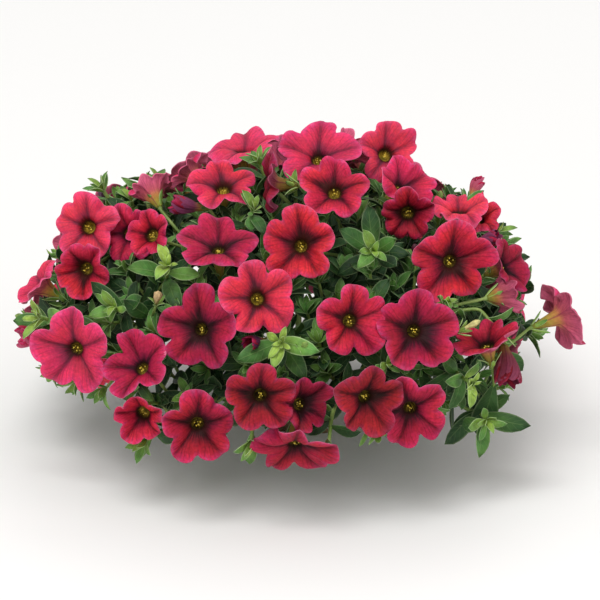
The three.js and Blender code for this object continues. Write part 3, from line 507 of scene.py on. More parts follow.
forkLines, forkShares, forkPoints = listForks()


def crossesOthers(points, stem, gap):
    low, high = points.min(0) - gap, points.max(0) + gap
    others = reached["points"]
    near = (reached["stems"] != stem) & ((others > low) & (others < high)).all(1)
    if not near.any():
        return False
    return (((others[near][None] - points[:, None]) ** 2).sum(2) < gap * gap).any()


# A curve from the best clear place on a stem to a tip, arriving along the tip's own direction.
def reachFor(tip, direction, radius, own, margin):
    gaps = tip - forkPoints
    lengths = np.sqrt((gaps ** 2).sum(1))
    costs = lengths * fork["lengthCost"] - gaps @ direction
    order = [i for i in np.lexsort((forkShares, forkLines, costs)) if lengths[i] >= fork["shortest"]]
    for i in order[:fork["tries"]]:
        line, share, start, length = lines[forkLines[i]], forkShares[i], forkPoints[i], lengths[i]
        straight = unit(tip - start)
        leave = start + length * bow["leave"] * directionOn(line, share) + length * bow["straight"] * straight
        arrive = tip - length * bow["arrive"] * direction
        curve = cubic(start, leave, arrive, tip)
        steps = straights["longTwig" if length > fork["longTwig"] else "twig"]
        twig = lineAlong(curve, steps, radius, line["stem"])
        twig.update(twig=True)
        if (twig["points"][:, 2] < lowestTwig).any() or not clearOfBlooms(twig["points"], margin, own):
            continue
        if not crossesOthers(twig["points"], line["stem"], clearance["lines"]):
            return twig
    return None


# A pedicel to the seat of a bloom, if one can reach it.
def addPedicel(bloom, own):
    sunk = -calyxShape["sunk"] if bloom["fused"] else calyxShape["seat"]
    seat = bloom["base"] - (sunk + calyxShape["sunk"]) * bloom["axis"]
    twig = reachFor(seat, bloom["axis"], stemRadii["pedicel"], own, clearance["pedicel"])
    if twig is None:
        return False
    twig.update(calyx=bloom)
    bloom["stem"] = twig["stem"]
    keepLine(twig)
    return True


for i, bloom in enumerate(blooms):
    addPedicel(bloom, i)


# How much nearer or deeper a bud or a shoot is tried where its first place is taken.
shifts = {"bud": (0, 3, -3, 6, -6, 9, -9), "shoot": (0, -3, 3, -6, -9, -12)}


def addBud(view, row):
    across, height, length, width, pan, tilt, reach, kind = row
    axis = facing(view, pan, tilt)
    for shift in shifts["bud"]:
        tip = onMound(view, across, height, reach + shift)
        tip = raised(tip, min(tip[2], tip[2] - length * axis[2]) - width)
        seat = tip - length * axis
        inside = np.array([seat + done * axis for done in range(0, math.floor(length) + 1, 2)])
        if not clearOfBlooms(inside, width / 2 + clearance["bud"]):
            continue
        if crossesOthers(inside, -1, clearance["budLines"]):
            continue
        twig = reachFor(seat, axis, stemRadii["pedicel"], None, clearance["pedicel"])
        if twig is None:
            continue
        twig.update(bud={"seat": seat, "axis": axis, "length": length, "width": width, "kind": kind})
        twig["points"] = np.vstack([twig["points"], inside])
        keepLine(twig)
        return


def addShoot(view, row):
    across, height, pan, tilt, reach, count, leafLength = row
    axis = facing(view, pan, tilt)
    for shift in shifts["shoot"]:
        tip = onMound(view, across, height, reach + shift)
        tip[2] = max(tip[2], lowestShoot)
        twig = reachFor(tip, axis, stemRadii["shoot"], None, clearance["shoot"])
        if twig is not None:
            twig["rosette"] = {"count": count, "leafLength": leafLength}
            keepLine(twig)
            return


for add, view, rows in ((addBud, front, frontBuds), (addBud, rear, rearBuds),
                        (addShoot, front, frontShoots), (addShoot, rear, rearShoots)):
    for row in rows:
        add(view, row)


samples = {"turns": 10, "limb": (0.55, 1.05), "tube": (0.25, 0.5, 0.75, 1)}


# Points of a bloom's limb and tube, by which its room is tested.
def bloomSamples(bloom):
    points = []
    for k in range(samples["turns"]):
        angle = math.radians(360 / samples["turns"] * k)
        for out in samples["limb"]:
            reach = bloom["radius"] * out
            points.append(bloom["mouth"] + reach * math.cos(angle) * bloom["u"]
                          + reach * math.sin(angle) * bloom["v"])
    for share in samples["tube"]:
        points.append(bloom["mouth"] - bloom["tube"] * share * bloom["axis"])
    return points


# More blooms where the sides and the back leave room.
for i in range(filler["places"]):
    place, normal, deeper, forward = spreadPlace(i, filler["places"], filler["depth"], filler["span"])
    place = place - deeper * normal
    if forward >= filler["aside"]:
        continue
    if min(math.dist(bloom["mouth"], place) for bloom in blooms) < filler["room"]:
        continue
    draw = seeded(seeds["filler"] + i)
    width = filler["width"] + filler["spread"] * draw()
    lean = filler["lean"] * (draw() - 0.5)
    axis = unit(normal + lean * side + filler["lean"] * draw() * up)
    bloom = shapeBloom(place, axis, width, 360 * draw(), draw, up)
    bloom.update(name=f"f{i:02d}", tone=draw(), fused=True)
    if not clearOfBlooms(bloomSamples(bloom), clearance["bloom"]):
        continue
    if nearBlooms(reached["points"], listBlooms([bloom]), clearance["bloom"]).any():
        continue
    if addPedicel(bloom, None):
        blooms.append(bloom)
        limbs = listBlooms(blooms)


def shoots():
    return [line for line in lines if "rosette" in line]


def rosetteTips():
    return np.array([line["corners"][-1] for line in shoots()])


for i in range(fillerShoots["places"]):
    place, normal, deeper, forward = spreadPlace(i, fillerShoots["places"], fillerShoots["depth"],
                                                 filler["span"])
    place = place - deeper * normal
    if forward >= filler["aside"]:
        continue
    if (((rosetteTips() - place) ** 2).sum(1) < fillerShoots["room"] ** 2).any():
        continue
    place[2] = max(place[2], lowestShoot)
    twig = reachFor(place, normal, stemRadii["shoot"], None, clearance["shoot"])
    if twig is not None:
        twig["rosette"] = {"count": fillerShoots["count"], "leafLength": fillerShoots["leafLength"]}
        keepLine(twig)

print("stems and twigs:", len(lines), "blooms:", len(blooms))

leaves = []
leafFacing = {"from": 0.6, "share": 0.7, "upright": 0.9}  # leaves turn their faces away from low in the mound
leafCentre = mound["middle"] * leafFacing["from"] * up
rosetteShape = {
    "stretch": 14, "mostShare": 0.8, "youngest": 0.62, "grown": 0.6, "open": 34, "opening": 42,
    "unevenOpen": 8, "unevenTurn": 40, "shorter": 0.9, "longer": 0.2, "ageing": 0.8,
}
stemLeaf = {
    "length": 17, "spread": 5, "from": 0.5, "over": 0.48, "open": 50, "unevenOpen": 15, "unevenTurn": 60,
    "spacing": 40, "age": 0.9,
}
leafAges = {"older": 0.3, "fresh": [0, 2, 3, 6]}  # only a few shoots are pale and young

# How much more a leaf opens and turns, and its size, where its first place is taken.
leafTries = [
    (0, 0, 1), (0, 28, 1), (0, -28, 1), (18, 0, 1), (-20, 0, 1),
    (0, 56, 0.9), (0, -56, 0.9), (-28, 24, 0.8), (-28, -24, 0.8), (-34, 0, 0.66),
]
sampleShares = np.array([1] + [0.2] * 3 + [0.4] * 3 + [0.6] * 3 + [0.8] * 3)
sampleSides = np.array([0] + [-0.95, 0, 0.95] * 3 + [-0.6, 0, 0.6])


# Points of a leaf at shares of its length and sides of its half width.
def leafPoints(leaf, shares, sides):
    half = sides * leaf["width"] * 0.5
    lift = np.abs(half) * leafShape["fold"] - leaf["length"] * leafShape["droop"] * shares ** 2
    return (leaf["root"] + np.outer(leaf["length"] * shares, leaf["along"]) + np.outer(half, leaf["side"])
            + np.outer(lift, leaf["up"]))


def nearestOf(points, chosen):
    return np.sqrt(((points[:, None] - chosen[None]) ** 2).sum(2).min(1))


def makeLeaf(root, along, above, length, width, **facts):
    return {"root": root, "along": along, "up": above, "side": cross(above, along), "length": length,
            "width": length * width, **facts}


# A leaf at a share of a line, where it clears the blooms and its own stem is nearer than the others.
def growLeaf(line, share, turn, openBy, length, own=None, others=None, width=leafShape["width"]):
    root = pointOn(line, share)
    along = directionOn(line, share)
    outward = unit(root - leafCentre)
    hint = up if abs(along[2]) < leafFacing["upright"] else side
    u, v = frameAbout(along, hint, hint)
    for moreOpen, moreTurn, scale in leafTries:
        angle = math.radians(turn + moreTurn)
        aside = math.cos(angle) * u + math.sin(angle) * v
        spread = math.radians(openBy + moreOpen)
        direction = unit(math.cos(spread) * along + math.sin(spread) * aside)
        face = math.sin(spread) * along - math.cos(spread) * aside + leafFacing["share"] * outward
        leaf = makeLeaf(root, direction, squareTo(face, direction), length * scale, width, stem=line["stem"])
        points = leafPoints(leaf, sampleShares, sampleSides)
        if (points[:, 2] < restGap + leafShape["thick"]).any():
            continue
        if not clearOfBlooms(points, clearance["leaf"]) or beforeBlooms(points).any():
            continue
        if own is not None:
            if (nearestOf(points, own) + clearance["ownLeaf"] > nearestOf(points, others)).any():
                continue
        return leaf
    return None


# The leaves at the end of a shoot: the youngest at its tip, the larger ones below and more open.
def growRosette(line, draw, own=None, others=None):
    count, leafLength = line["rosette"]["count"], line["rosette"]["leafLength"]
    shape = rosetteShape
    for i in range(count):
        share = 1 - i / count * min(shape["mostShare"], shape["stretch"] / line["length"])
        age = min(1, (i + shape["grown"]) / (count * shape["grown"]))
        openBy = shape["open"] + i / count * shape["opening"] + shape["unevenOpen"] * draw()
        turn = goldenTurn * i + shape["unevenTurn"] * draw()
        length = leafLength * (shape["youngest"] + (1 - shape["youngest"]) * age)
        length = length * (shape["shorter"] + shape["longer"] * draw())
        leaf = growLeaf(line, share, turn, openBy, length, own, others)
        if leaf is not None:
            leaf["age"] = age * shape["ageing"] + line["rosette"].get("older", leafAges["older"])
            leaves.append(leaf)


for at in leafAges["fresh"]:
    shoots()[at]["rosette"]["older"] = 0

for stem in range(1, len(stems) + 1):
    own = reached["points"][reached["stems"] == stem]
    others = reached["points"][reached["stems"] != stem]
    draw = seeded(seeds["stem"] + stem - 1)
    for line in [line for line in lines if line["stem"] == stem]:
        if "rosette" in line:
            growRosette(line, draw, own, others)
        elif not line["twig"]:
            count = int(line["length"] * stemLeaf["from"] / stemLeaf["spacing"])
            for i in range(count):
                share = stemLeaf["from"] + stemLeaf["over"] * (i + 0.5) / count
                length = stemLeaf["length"] + stemLeaf["spread"] * draw()
                turn = goldenTurn * i + stemLeaf["unevenTurn"] * draw()
                openBy = stemLeaf["open"] + stemLeaf["unevenOpen"] * draw()
                leaf = growLeaf(line, share, turn, openBy, length, own, others)
                if leaf is not None:
                    leaf["age"] = stemLeaf["age"]
                    leaves.append(leaf)

print("leaves of the frame:", len(leaves))

# The finer foliage: more shoots between the blooms, and leaves along every stem, shoot and pedicel.
thicket = {
    "places": 460, "span": 1.52, "depth": 7, "deeper": 12, "inFront": 13, "room": 12, "count": 5, "more": 3,
    "leafLength": 13, "longer": 6, "bloomMargin": 1.0, "lines": 1.2, "leafMargin": 0.5, "upward": 0.3,
}
alongLeaf = {
    "spacing": 7.5, "from": 0.22, "to": 0.92, "short": 9, "long": 17, "open": 48, "unevenOpen": 24,
    "unevenTurn": 360, "width": 0.36, "wider": 0.12, "age": 0.7, "older": 0.3,
}
heart = {
    "count": 7, "length": 6.5, "longer": 5, "open": 8, "opening": 8, "unevenTurn": 90, "width": 0.34,
    "ageing": 0.05,
}
clearance.update(lines=thicket["lines"], leaf=thicket["leafMargin"])

# Where the mound's outline is bare of leaves, in its front elevation: across, up, radius
bareSpots = np.array([
    (-87, -31, 9), (-70, -55, 9), (-23, -57, 8), (20, -47, 7), (30, -55, 8), (57, -46, 7), (97, 29, 8),
    (95, -27, 8), (93, -42, 9), (-24, 53, 8), (-112, 30, 8),
])


def inBareSpot(leaf):
    tip = leaf["root"] + leaf["length"] * leaf["along"] - mound["middle"] * up
    return (np.hypot(tip @ front["right"] - bareSpots[:, 0], tip @ front["up"] - bareSpots[:, 1])
            < bareSpots[:, 2]).any() and tip @ front["toward"] > 0


for i in range(thicket["places"]):
    draw = seeded(seeds["thicket"] + i)
    place, normal, _, forward = spreadPlace(i, thicket["places"], 0, thicket["span"])
    depth = thicket["depth"] + thicket["deeper"] * draw() + thicket["inFront"] * max(0, forward)
    place = place - depth * normal
    place[2] = max(place[2], lowestShoot)
    if (((rosetteTips() - place) ** 2).sum(1) < thicket["room"] ** 2).any():
        continue
    outward = unit(normal + thicket["upward"] * up)
    twig = reachFor(place, outward, stemRadii["pedicel"], None, thicket["bloomMargin"])
    if twig is not None:
        twig["rosette"] = {"count": thicket["count"] + int(thicket["more"] * draw()),
                           "leafLength": thicket["leafLength"] + thicket["longer"] * draw()}
        keepLine(twig)
        grown = len(leaves)
        growRosette(twig, draw)
        leaves[grown:] = [leaf for leaf in leaves[grown:] if not inBareSpot(leaf)]

for at, line in enumerate(lines):
    draw = seeded(seeds["along"] + at)
    stretch = line["length"] * (alongLeaf["to"] - alongLeaf["from"])
    count = int(stretch / alongLeaf["spacing"])
    for i in range(count):
        share = alongLeaf["from"] + (alongLeaf["to"] - alongLeaf["from"]) * (i + draw()) / count
        length = alongLeaf["short"] + (alongLeaf["long"] - alongLeaf["short"]) * draw()
        openBy = alongLeaf["open"] + alongLeaf["unevenOpen"] * draw()
        turn = goldenTurn * i + alongLeaf["unevenTurn"] * draw()
        width = alongLeaf["width"] + alongLeaf["wider"] * draw()
        leaf = growLeaf(line, share, turn, openBy, length, width=width)
        if leaf is not None and not inBareSpot(leaf):
            leaf["age"] = alongLeaf["age"] + alongLeaf["older"] * draw()
            leaves.append(leaf)

# The youngest leaves, small and upright at the tips of the shoots.
for at, line in enumerate(shoots()):
    draw = seeded(seeds["heart"] + at)
    for i in range(heart["count"]):
        length = heart["length"] + heart["longer"] * draw()
        openBy = heart["open"] + heart["opening"] * i
        turn = goldenTurn * i + heart["unevenTurn"] * draw()
        leaf = growLeaf(line, 1, turn, openBy, length, width=heart["width"])
        if leaf is not None:
            leaf["age"] = line["rosette"].get("older", leafAges["older"]) + heart["ageing"] * i
            leaves.append(leaf)

# Single leaves at the edge of the mound, from the nearest stem: across and up of the foot, across and
# up of the tip, width, age
broadLeaves = [
    (84, -32, 75, -52, 0.44, 1.1), (74, -38.5, 66.5, -45, 0.6, 0.9), (90, -13.5, 95, -22, 0.6, 1.0),
]
broadLeaf = {"deeper": 0.6, "back": 0.4}  # how little a stem's depth counts, and how far the leaves lean back
for footAcross, footUp, tipAcross, tipUp, width, age in broadLeaves:
    away = reached["points"] - onMound(front, footAcross, footUp, 0)
    nearest = ((away ** 2).sum(1) - broadLeaf["deeper"] * (away @ front["toward"]) ** 2).argmin()
    root = reached["points"][nearest]
    right = tipAcross - root @ front["right"]
    rise = tipUp - (root - mound["middle"] * up) @ front["up"]
    length = math.hypot(right, rise)
    along = unit(right * front["right"] + rise * front["up"] - broadLeaf["back"] * length * front["toward"])
    leaves.append(makeLeaf(root, along, squareTo(front["toward"], along), length, width,
                           stem=reached["stems"][nearest], age=age))

print("all twigs:", len(lines), "all leaves:", len(leaves))


def tint(code):
    channels = [int(code[i:i + 2], 16) / 255 for i in (1, 3, 5)]
    linear = [c / 12.92 if c <= 0.04045 else ((c + 0.055) / 1.055) ** 2.4 for c in channels]
    return (*linear, 1)


# Gives a socket its value, or links it to the socket that the value comes from.
def feed(tree, value, socket):
    if isinstance(value, bpy.types.NodeSocket):
        tree.links.new(value, socket)
    else:
        socket.default_value = value


def put(tree, kind, inputs=None, **settings):
    node = tree.nodes.new("ShaderNode" + kind)
    for key, value in settings.items():
        setattr(node, key, value)
    for key, value in (inputs or {}).items():
        feed(tree, value, node.inputs[key])
    return node


def calc(tree, operation, *values, clamp=False):
    return put(tree, "Math", dict(enumerate(values)), operation=operation, use_clamp=clamp).outputs[0]


def times(tree, first, *others, clamp=False):
    for value in others:
        first = calc(tree, "MULTIPLY", first, value, clamp=clamp)
    return first


def plus(tree, first, second, clamp=False):
    return calc(tree, "ADD", first, second, clamp=clamp)


def minus(tree, first, second, clamp=False):
    return calc(tree, "SUBTRACT", first, second, clamp=clamp)


def most(tree, first, second):
    return calc(tree, "MAXIMUM", first, second)


def scaled(tree, value, factor, offset):
    return calc(tree, "MULTIPLY_ADD", value, factor, offset)


def distance(tree, first, second):
    return calc(tree, "ABSOLUTE", minus(tree, first, second))


def blend(tree, factor, first, second, kind="MIX"):
    node = put(tree, "Mix", data_type="RGBA", blend_type=kind)
    for socket, value in zip((node.inputs[0], node.inputs[6], node.inputs[7]), (factor, first, second)):
        feed(tree, value, socket)
    return node.outputs[2]


def shaded(tree, colour, shade):
    return blend(tree, 1.0, colour, shade, "MULTIPLY")


def ramp(tree, value, stops):
    node = put(tree, "ValToRGB", {0: value})
    elements = node.color_ramp.elements
    while len(elements) < len(stops):
        elements.new(0.5)
    for element, (place, code) in zip(elements, stops):
        element.position = place
        element.color = tint(code)
    return node.outputs[0]


def spread(tree, value, low, high, start=0.0, end=1.0):
    inputs = {"Value": value, "From Min": low, "From Max": high, "To Min": start, "To Max": end}
    return put(tree, "MapRange", inputs, interpolation_type="SMOOTHSTEP").outputs[0]


def attribute(tree, name, output="Vector"):
    return put(tree, "Attribute", attribute_name=name).outputs[output]


def apart(tree, vector):
    return put(tree, "SeparateXYZ", {0: vector}).outputs


def noise(tree, place, scale, detail):
    return put(tree, "TexNoise", {"Vector": place, "Scale": scale, "Detail": detail}).outputs[0]


def startGroup(name, inputs, outputs):
    tree = bpy.data.node_groups.new(name, "ShaderNodeTree")
    for label, kind in inputs:
        tree.interface.new_socket(label, in_out="INPUT", socket_type="NodeSocket" + kind)
    for label in outputs:
        tree.interface.new_socket(label, in_out="OUTPUT", socket_type="NodeSocketFloat")
    return tree, tree.nodes.new("NodeGroupInput").outputs, tree.nodes.new("NodeGroupOutput").inputs


cloudShape = {"detail": 3.0, "edges": (0.3, 0.7)}


# Soft spots in the colour of a surface, so that no two places are quite alike.
def makeMottle():
    inputs = [("Scale", "Float"), ("Low", "Float"), ("High", "Float")]
    tree, given, result = startGroup("mottle", inputs, ["Value"])
    cloud = noise(tree, put(tree, "TexCoord").outputs["Object"], given["Scale"], cloudShape["detail"])
    feed(tree, spread(tree, cloud, *cloudShape["edges"], given["Low"], given["High"]), result["Value"])
    return tree


petalVeinShape = {
    "middle": 0.12,  # half the width of a lobe's middle vein, over half the lobe
    "branches": [(0.22, 0.62), (0.42, 0.5), (0.6, 0.42)],  # where each leaves the middle, how wide it runs
    "curve": 0.7, "wider": 1.4, "thin": 0.045, "start": (0.01, 0.06), "fade": (1.0, 0.8),
    "waver": (9.0, 2.0), "sway": 0.1, "streaks": (14.0, 14.0, 1.5), "streakDetail": 3.0,
    "streakEdges": (0.32, 0.68),
}


# The veins of a petal lobe: one down its middle, and branches that curve out to its edge.
def makePetalVeins():
    inputs = [("Lobe", "Float"), ("Along", "Float"), ("Around", "Vector")]
    tree, given, result = startGroup("petalVeins", inputs, ["Middle", "Branches", "Streaks"])
    shape = petalVeinShape
    waver = scaled(tree, noise(tree, given["Around"], *shape["waver"]), shape["sway"], -shape["sway"] / 2)
    lobe = plus(tree, given["Lobe"], waver)
    middle = spread(tree, calc(tree, "ABSOLUTE", lobe), 0.0, shape["middle"], 1.0, 0.0)
    fade = spread(tree, given["Along"], *shape["fade"])
    feed(tree, times(tree, middle, fade), result["Middle"])
    total = 0.0
    for start, wide in shape["branches"]:
        past = most(tree, minus(tree, given["Along"], start), 0.0)
        course = times(tree, calc(tree, "POWER", past, shape["curve"]), wide * shape["wider"])
        line = spread(tree, distance(tree, lobe, course), 0.0, shape["thin"], 1.0, 0.0)
        total = plus(tree, total, times(tree, line, spread(tree, past, *shape["start"])), clamp=True)
    feed(tree, times(tree, total, fade), result["Branches"])
    stretched = put(tree, "VectorMath", {0: given["Around"], 1: shape["streaks"]}, operation="MULTIPLY")
    streaks = noise(tree, stretched.outputs[0], 1.0, shape["streakDetail"])
    feed(tree, spread(tree, streaks, *shape["streakEdges"]), result["Streaks"])
    return tree


mottle = makeMottle()
petalVeins = makePetalVeins()


def useGroup(tree, group, **inputs):
    return put(tree, "Group", inputs, node_tree=group).outputs


def mottled(tree, scale, low=0.0, high=1.0):
    return useGroup(tree, mottle, Scale=scale, Low=low, High=high)[0]


def startMaterial(name, roughness, specular=0.5):
    material = bpy.data.materials.new(name)
    material.use_nodes = True
    shader = material.node_tree.nodes["Principled BSDF"]
    shader.inputs["Roughness"].default_value = roughness
    shader.inputs["Specular IOR Level"].default_value = specular
    return material, material.node_tree


# Gives a material its colour, and a fine relief where a height is given.
def finish(tree, colour, height=None, strength=0.4, depth=0.0002):
    shader = tree.nodes["Principled BSDF"]
    feed(tree, colour, shader.inputs["Base Color"])
    if height is not None:
        bump = put(tree, "Bump", {"Height": height, "Strength": strength, "Distance": depth})
        feed(tree, bump.outputs[0], shader.inputs["Normal"])


# Shares of a petal's length from its throat, with the colour there, and single tints; deep is painted shade
# in the throat and lit is painted light
petalTones = {
    "scarlet": [
        (0.0, "#7a6e24"), (0.08, "#bd9d38"), (0.15, "#806a26"), (0.2, "#2c1a0c"), (0.3, "#440a10"),
        (0.42, "#801424"), (0.55, "#b61d2b"), (0.78, "#cf2a33"), (0.94, "#d63350"), (1.0, "#df4d6c"),
    ],
    "magenta": [
        (0.0, "#7a6e24"), (0.08, "#b89a38"), (0.15, "#786428"), (0.2, "#281610"), (0.3, "#3c0a22"),
        (0.42, "#760f33"), (0.55, "#a51840"), (0.78, "#c11f48"), (0.94, "#ce2c60"), (1.0, "#da4a7e"),
    ],
    "back": [
        (0.0, "#8b9a3c"), (0.2, "#a8943e"), (0.36, "#c2834c"), (0.5, "#bf5864"), (0.75, "#cf5d7c"),
        (1.0, "#dc6c8d"),
    ],
    "deep": "#3a2a10", "vein": "#4a0614", "lit": "#e5709a", "backVein": "#8c2c4c", "withered": "#6e3562",
}
petalSheen = {"rough": 0.6, "backRough": 0.65, "specular": 0.15}

# Where each mark lies on a petal's face: from and to, over its length or half its lobe, and how strongly;
# shadows, dim and the mark down each lobe's middle are painted shade, and lit is painted light
faceMarks = {
    "feather": (-0.13, 0.065), "star": (0.0, 0.45, 0.11, 0.0), "starFrom": (0.2, 0.3), "starTo": (0.55, 0.95),
    "tube": 0.25, "rim": (0.6, -0.42), "limb": (0.28, 0.42), "middle": 0.85, "branches": 0.36,
    "seam": (0.88, 1.0, 0.0, 0.35), "throat": (0.24, 0.14), "dim": 1.7, "shadows": (1.4, 1.0),
    "shadowEdges": (0.4, 0.62), "streaks": (0.7, 0.32), "grooveShade": (0.0, 0.4, 0.3, 0.0),
    "lit": (1.0, 1.35, 0.0, 0.13), "relief": 0.6, "streakRelief": 0.45,
}
faceSpots = {"tone": (85.0, -0.3, 0.3), "speckles": (900.0, 0.82, 1.14), "patches": (110.0, 0.8, 1.1)}
backMarks = {
    "limb": (0.25, 0.5), "stripe": (0.08, 0.25, 0.6, 0.0), "stripeEnd": (0.52, 0.4), "middle": 0.75,
    "branches": 0.4, "streaks": (0.2, 0.9), "speckles": (700.0, 0.9, 1.08),
}


# Where a petal's dark star ends: it feathers out along the veins, by the width of each bloom's own ring.
def petalStar(tree, lobe, along, ring, streaks):
    feather = scaled(tree, streaks, *faceMarks["feather"])
    star = spread(tree, lobe, *faceMarks["star"])
    begun, ended = [spread(tree, along, *faceMarks[mark]) for mark in ("starFrom", "starTo")]
    shift = times(tree, minus(tree, ring, star), minus(tree, begun, ended))
    dark = plus(tree, plus(tree, along, feather), shift)
    return most(tree, dark, calc(tree, "MINIMUM", along, faceMarks["tube"]))


# The veins of a petal, drawn as strongly as its side shows them.
def drawVeins(tree, veins, marks):
    middle = times(tree, veins["Middle"], marks["middle"])
    return plus(tree, middle, times(tree, veins["Branches"], marks["branches"]), clamp=True)


# The face of a petal: an olive throat, a dark star, veins and a pink rim, under painted shade and light.
def makePetalFace():
    material, tree = startMaterial("petalFace", petalSheen["rough"], petalSheen["specular"])
    lobe, along, tone = apart(tree, attribute(tree, "petal"))
    # The first value is the bloom's painted shade or painted light, the second its ring width
    depth, ring, _ = apart(tree, attribute(tree, "shadeRingWither"))
    around = attribute(tree, "around")
    marks = faceMarks
    veins = useGroup(tree, petalVeins, Lobe=lobe, Along=along, Around=around)
    dark = petalStar(tree, lobe, along, ring, veins["Streaks"])
    rim = scaled(tree, along, *marks["rim"])
    own = plus(tree, plus(tree, tone, mottled(tree, *faceSpots["tone"])), rim, clamp=True)
    colour = blend(tree, own, *[ramp(tree, dark, petalTones[name]) for name in ("scarlet", "magenta")])
    outer = spread(tree, along, *marks["limb"])
    lines = most(tree, drawVeins(tree, veins, marks), spread(tree, lobe, *marks["seam"]))
    colour = blend(tree, times(tree, lines, outer), colour, tint(petalTones["vein"]))
    # Painted shade deep in the throat, in patches, weaker on blooms painted lighter
    throat = spread(tree, along, *marks["throat"])
    dim = times(tree, throat, minus(tree, marks["dim"], depth, clamp=True))
    shadow = spread(tree, noise(tree, around, *marks["shadows"]), *marks["shadowEdges"])
    colour = blend(tree, times(tree, shadow, dim), colour, tint(petalTones["deep"]))
    streak = times(tree, minus(tree, veins["Streaks"], 0.5), scaled(tree, throat, *marks["streaks"]))
    speckled = times(tree, plus(tree, streak, 1.0), mottled(tree, *faceSpots["speckles"]))
    # Painted shade down the groove in the middle of each lobe
    grooveShade = minus(tree, 1.0, times(tree, spread(tree, lobe, *marks["grooveShade"]), outer))
    patches = mottled(tree, *faceSpots["patches"])
    # Each bloom's painted shade or painted light darkens or lightens its colour
    colour = shaded(tree, colour, times(tree, speckled, times(tree, depth, grooveShade), patches))
    # Painted light: blooms painted lightest turn paler pink over their limbs
    lit = times(tree, spread(tree, depth, *marks["lit"]), outer)
    colour = blend(tree, lit, colour, tint(petalTones["lit"]))
    height = plus(tree, times(tree, lines, -1.0), times(tree, veins["Streaks"], marks["streakRelief"]))
    finish(tree, colour, height, marks["relief"])
    return material


# The back of a petal is dusty pink, with veins, on a green and tan tube with dark stripes, under its bloom's
# painted shade or light.
def makePetalBack():
    material, tree = startMaterial("petalBack", petalSheen["backRough"], petalSheen["specular"])
    lobe, along, _ = apart(tree, attribute(tree, "petal"))
    depth, _, withered = apart(tree, attribute(tree, "shadeRingWither"))
    veins = useGroup(tree, petalVeins, Lobe=lobe, Along=along, Around=attribute(tree, "around"))
    marks = backMarks
    limb = times(tree, withered, spread(tree, along, *marks["limb"]))
    colour = blend(tree, limb, ramp(tree, along, petalTones["back"]), tint(petalTones["withered"]))
    stripe = times(tree, spread(tree, lobe, *marks["stripe"]), spread(tree, along, *marks["stripeEnd"]))
    lines = most(tree, drawVeins(tree, veins, marks), stripe)
    colour = blend(tree, lines, colour, tint(petalTones["backVein"]))
    streak = scaled(tree, veins["Streaks"], *marks["streaks"])
    # Painted shade or painted light: each bloom's back is darkened or lightened by its own value
    colour = shaded(tree, colour, times(tree, streak, mottled(tree, *marks["speckles"]), depth))
    finish(tree, colour, plus(tree, lines, veins["Streaks"]))
    return material


leafTones = {
    "young": "#a8c656", "grown": "#5b9042", "old": "#21431f", "sunny": "#93b445", "vein": "#9aba72",
    "margin": "#bdd39c",
}
leafVeins = {"middle": 0.09, "count": 7.0, "slant": 1.6, "wide": 0.1, "branch": 0.5}
leafMarks = {
    "rough": 0.55, "specular": 0.3, "older": (0.35, -0.12), "grown": (0.3, 0.75), "old": (0.7, 1.35),
    "sunny": (55.0, -0.15, 0.4), "sunnyUntil": (1.3, 0.7), "patches": (210.0, 0.68, 1.2),
    "fresh": (1.2, 0.5, 0.35, 1.0), "vein": 0.6, "edge": (0.82, 1.0), "margin": 0.7, "relief": 0.6,
    "depth": 0.0003,
}


# The veins of a leaf: one down its middle, and fainter ones that slant to its edge.
def makeLeafVeins(tree, across, along):
    middle = spread(tree, across, 0.0, leafVeins["middle"], 1.0, 0.0)
    slant = minus(tree, times(tree, along, leafVeins["count"]), times(tree, across, leafVeins["slant"]))
    away = distance(tree, calc(tree, "FRACT", slant), 0.5)
    return most(tree, middle, spread(tree, away, 0.0, leafVeins["wide"], leafVeins["branch"], 0.0))


# A leaf: its green deepens with age and with painted shade deep in the mound, and its veins and margin are
# paler.
def makeLeafSkin():
    marks = leafMarks
    material, tree = startMaterial("leafSkin", marks["rough"], marks["specular"])
    uv = apart(tree, put(tree, "UVMap", uv_map="UVMap").outputs[0])
    across = times(tree, distance(tree, uv[0], 0.5), 2.0)
    age = plus(tree, attribute(tree, "age", "Fac"), scaled(tree, uv[1], *marks["older"]))
    grown = spread(tree, age, *marks["grown"])
    colour = blend(tree, grown, tint(leafTones["young"]), tint(leafTones["grown"]))
    colour = blend(tree, spread(tree, age, *marks["old"]), colour, tint(leafTones["old"]))
    sunny = times(tree, mottled(tree, *marks["sunny"]), spread(tree, age, *marks["sunnyUntil"]), clamp=True)
    colour = blend(tree, sunny, colour, tint(leafTones["sunny"]))
    colour = shaded(tree, colour, mottled(tree, *marks["patches"]))
    veins = makeLeafVeins(tree, across, uv[1])
    fresh = spread(tree, age, *marks["fresh"])
    pale = times(tree, veins, times(tree, fresh, marks["vein"]))
    colour = blend(tree, pale, colour, tint(leafTones["vein"]))
    margin = times(tree, spread(tree, across, *marks["edge"]), times(tree, fresh, marks["margin"]))
    colour = blend(tree, margin, colour, tint(leafTones["margin"]))
    finish(tree, colour, times(tree, veins, -1.0), marks["relief"], marks["depth"])
    return material


budMarks = {"rough": 0.6, "spots": (800.0, 0.75, 1.2), "green": (0.08, 0.4), "base": "#6e7f35"}


# A bud: green at its base, turning to its own colour towards the furled tip.
def makeBudSkin():
    material, tree = startMaterial("budSkin", budMarks["rough"])
    height = attribute(tree, "budHeight", "Fac")
    own = attribute(tree, "budTint", "Color")
    spots = mottled(tree, *budMarks["spots"])
    colour = blend(tree, spread(tree, height, *budMarks["green"]), tint(budMarks["base"]), own)
    finish(tree, shaded(tree, colour, spots), spots)
    return material


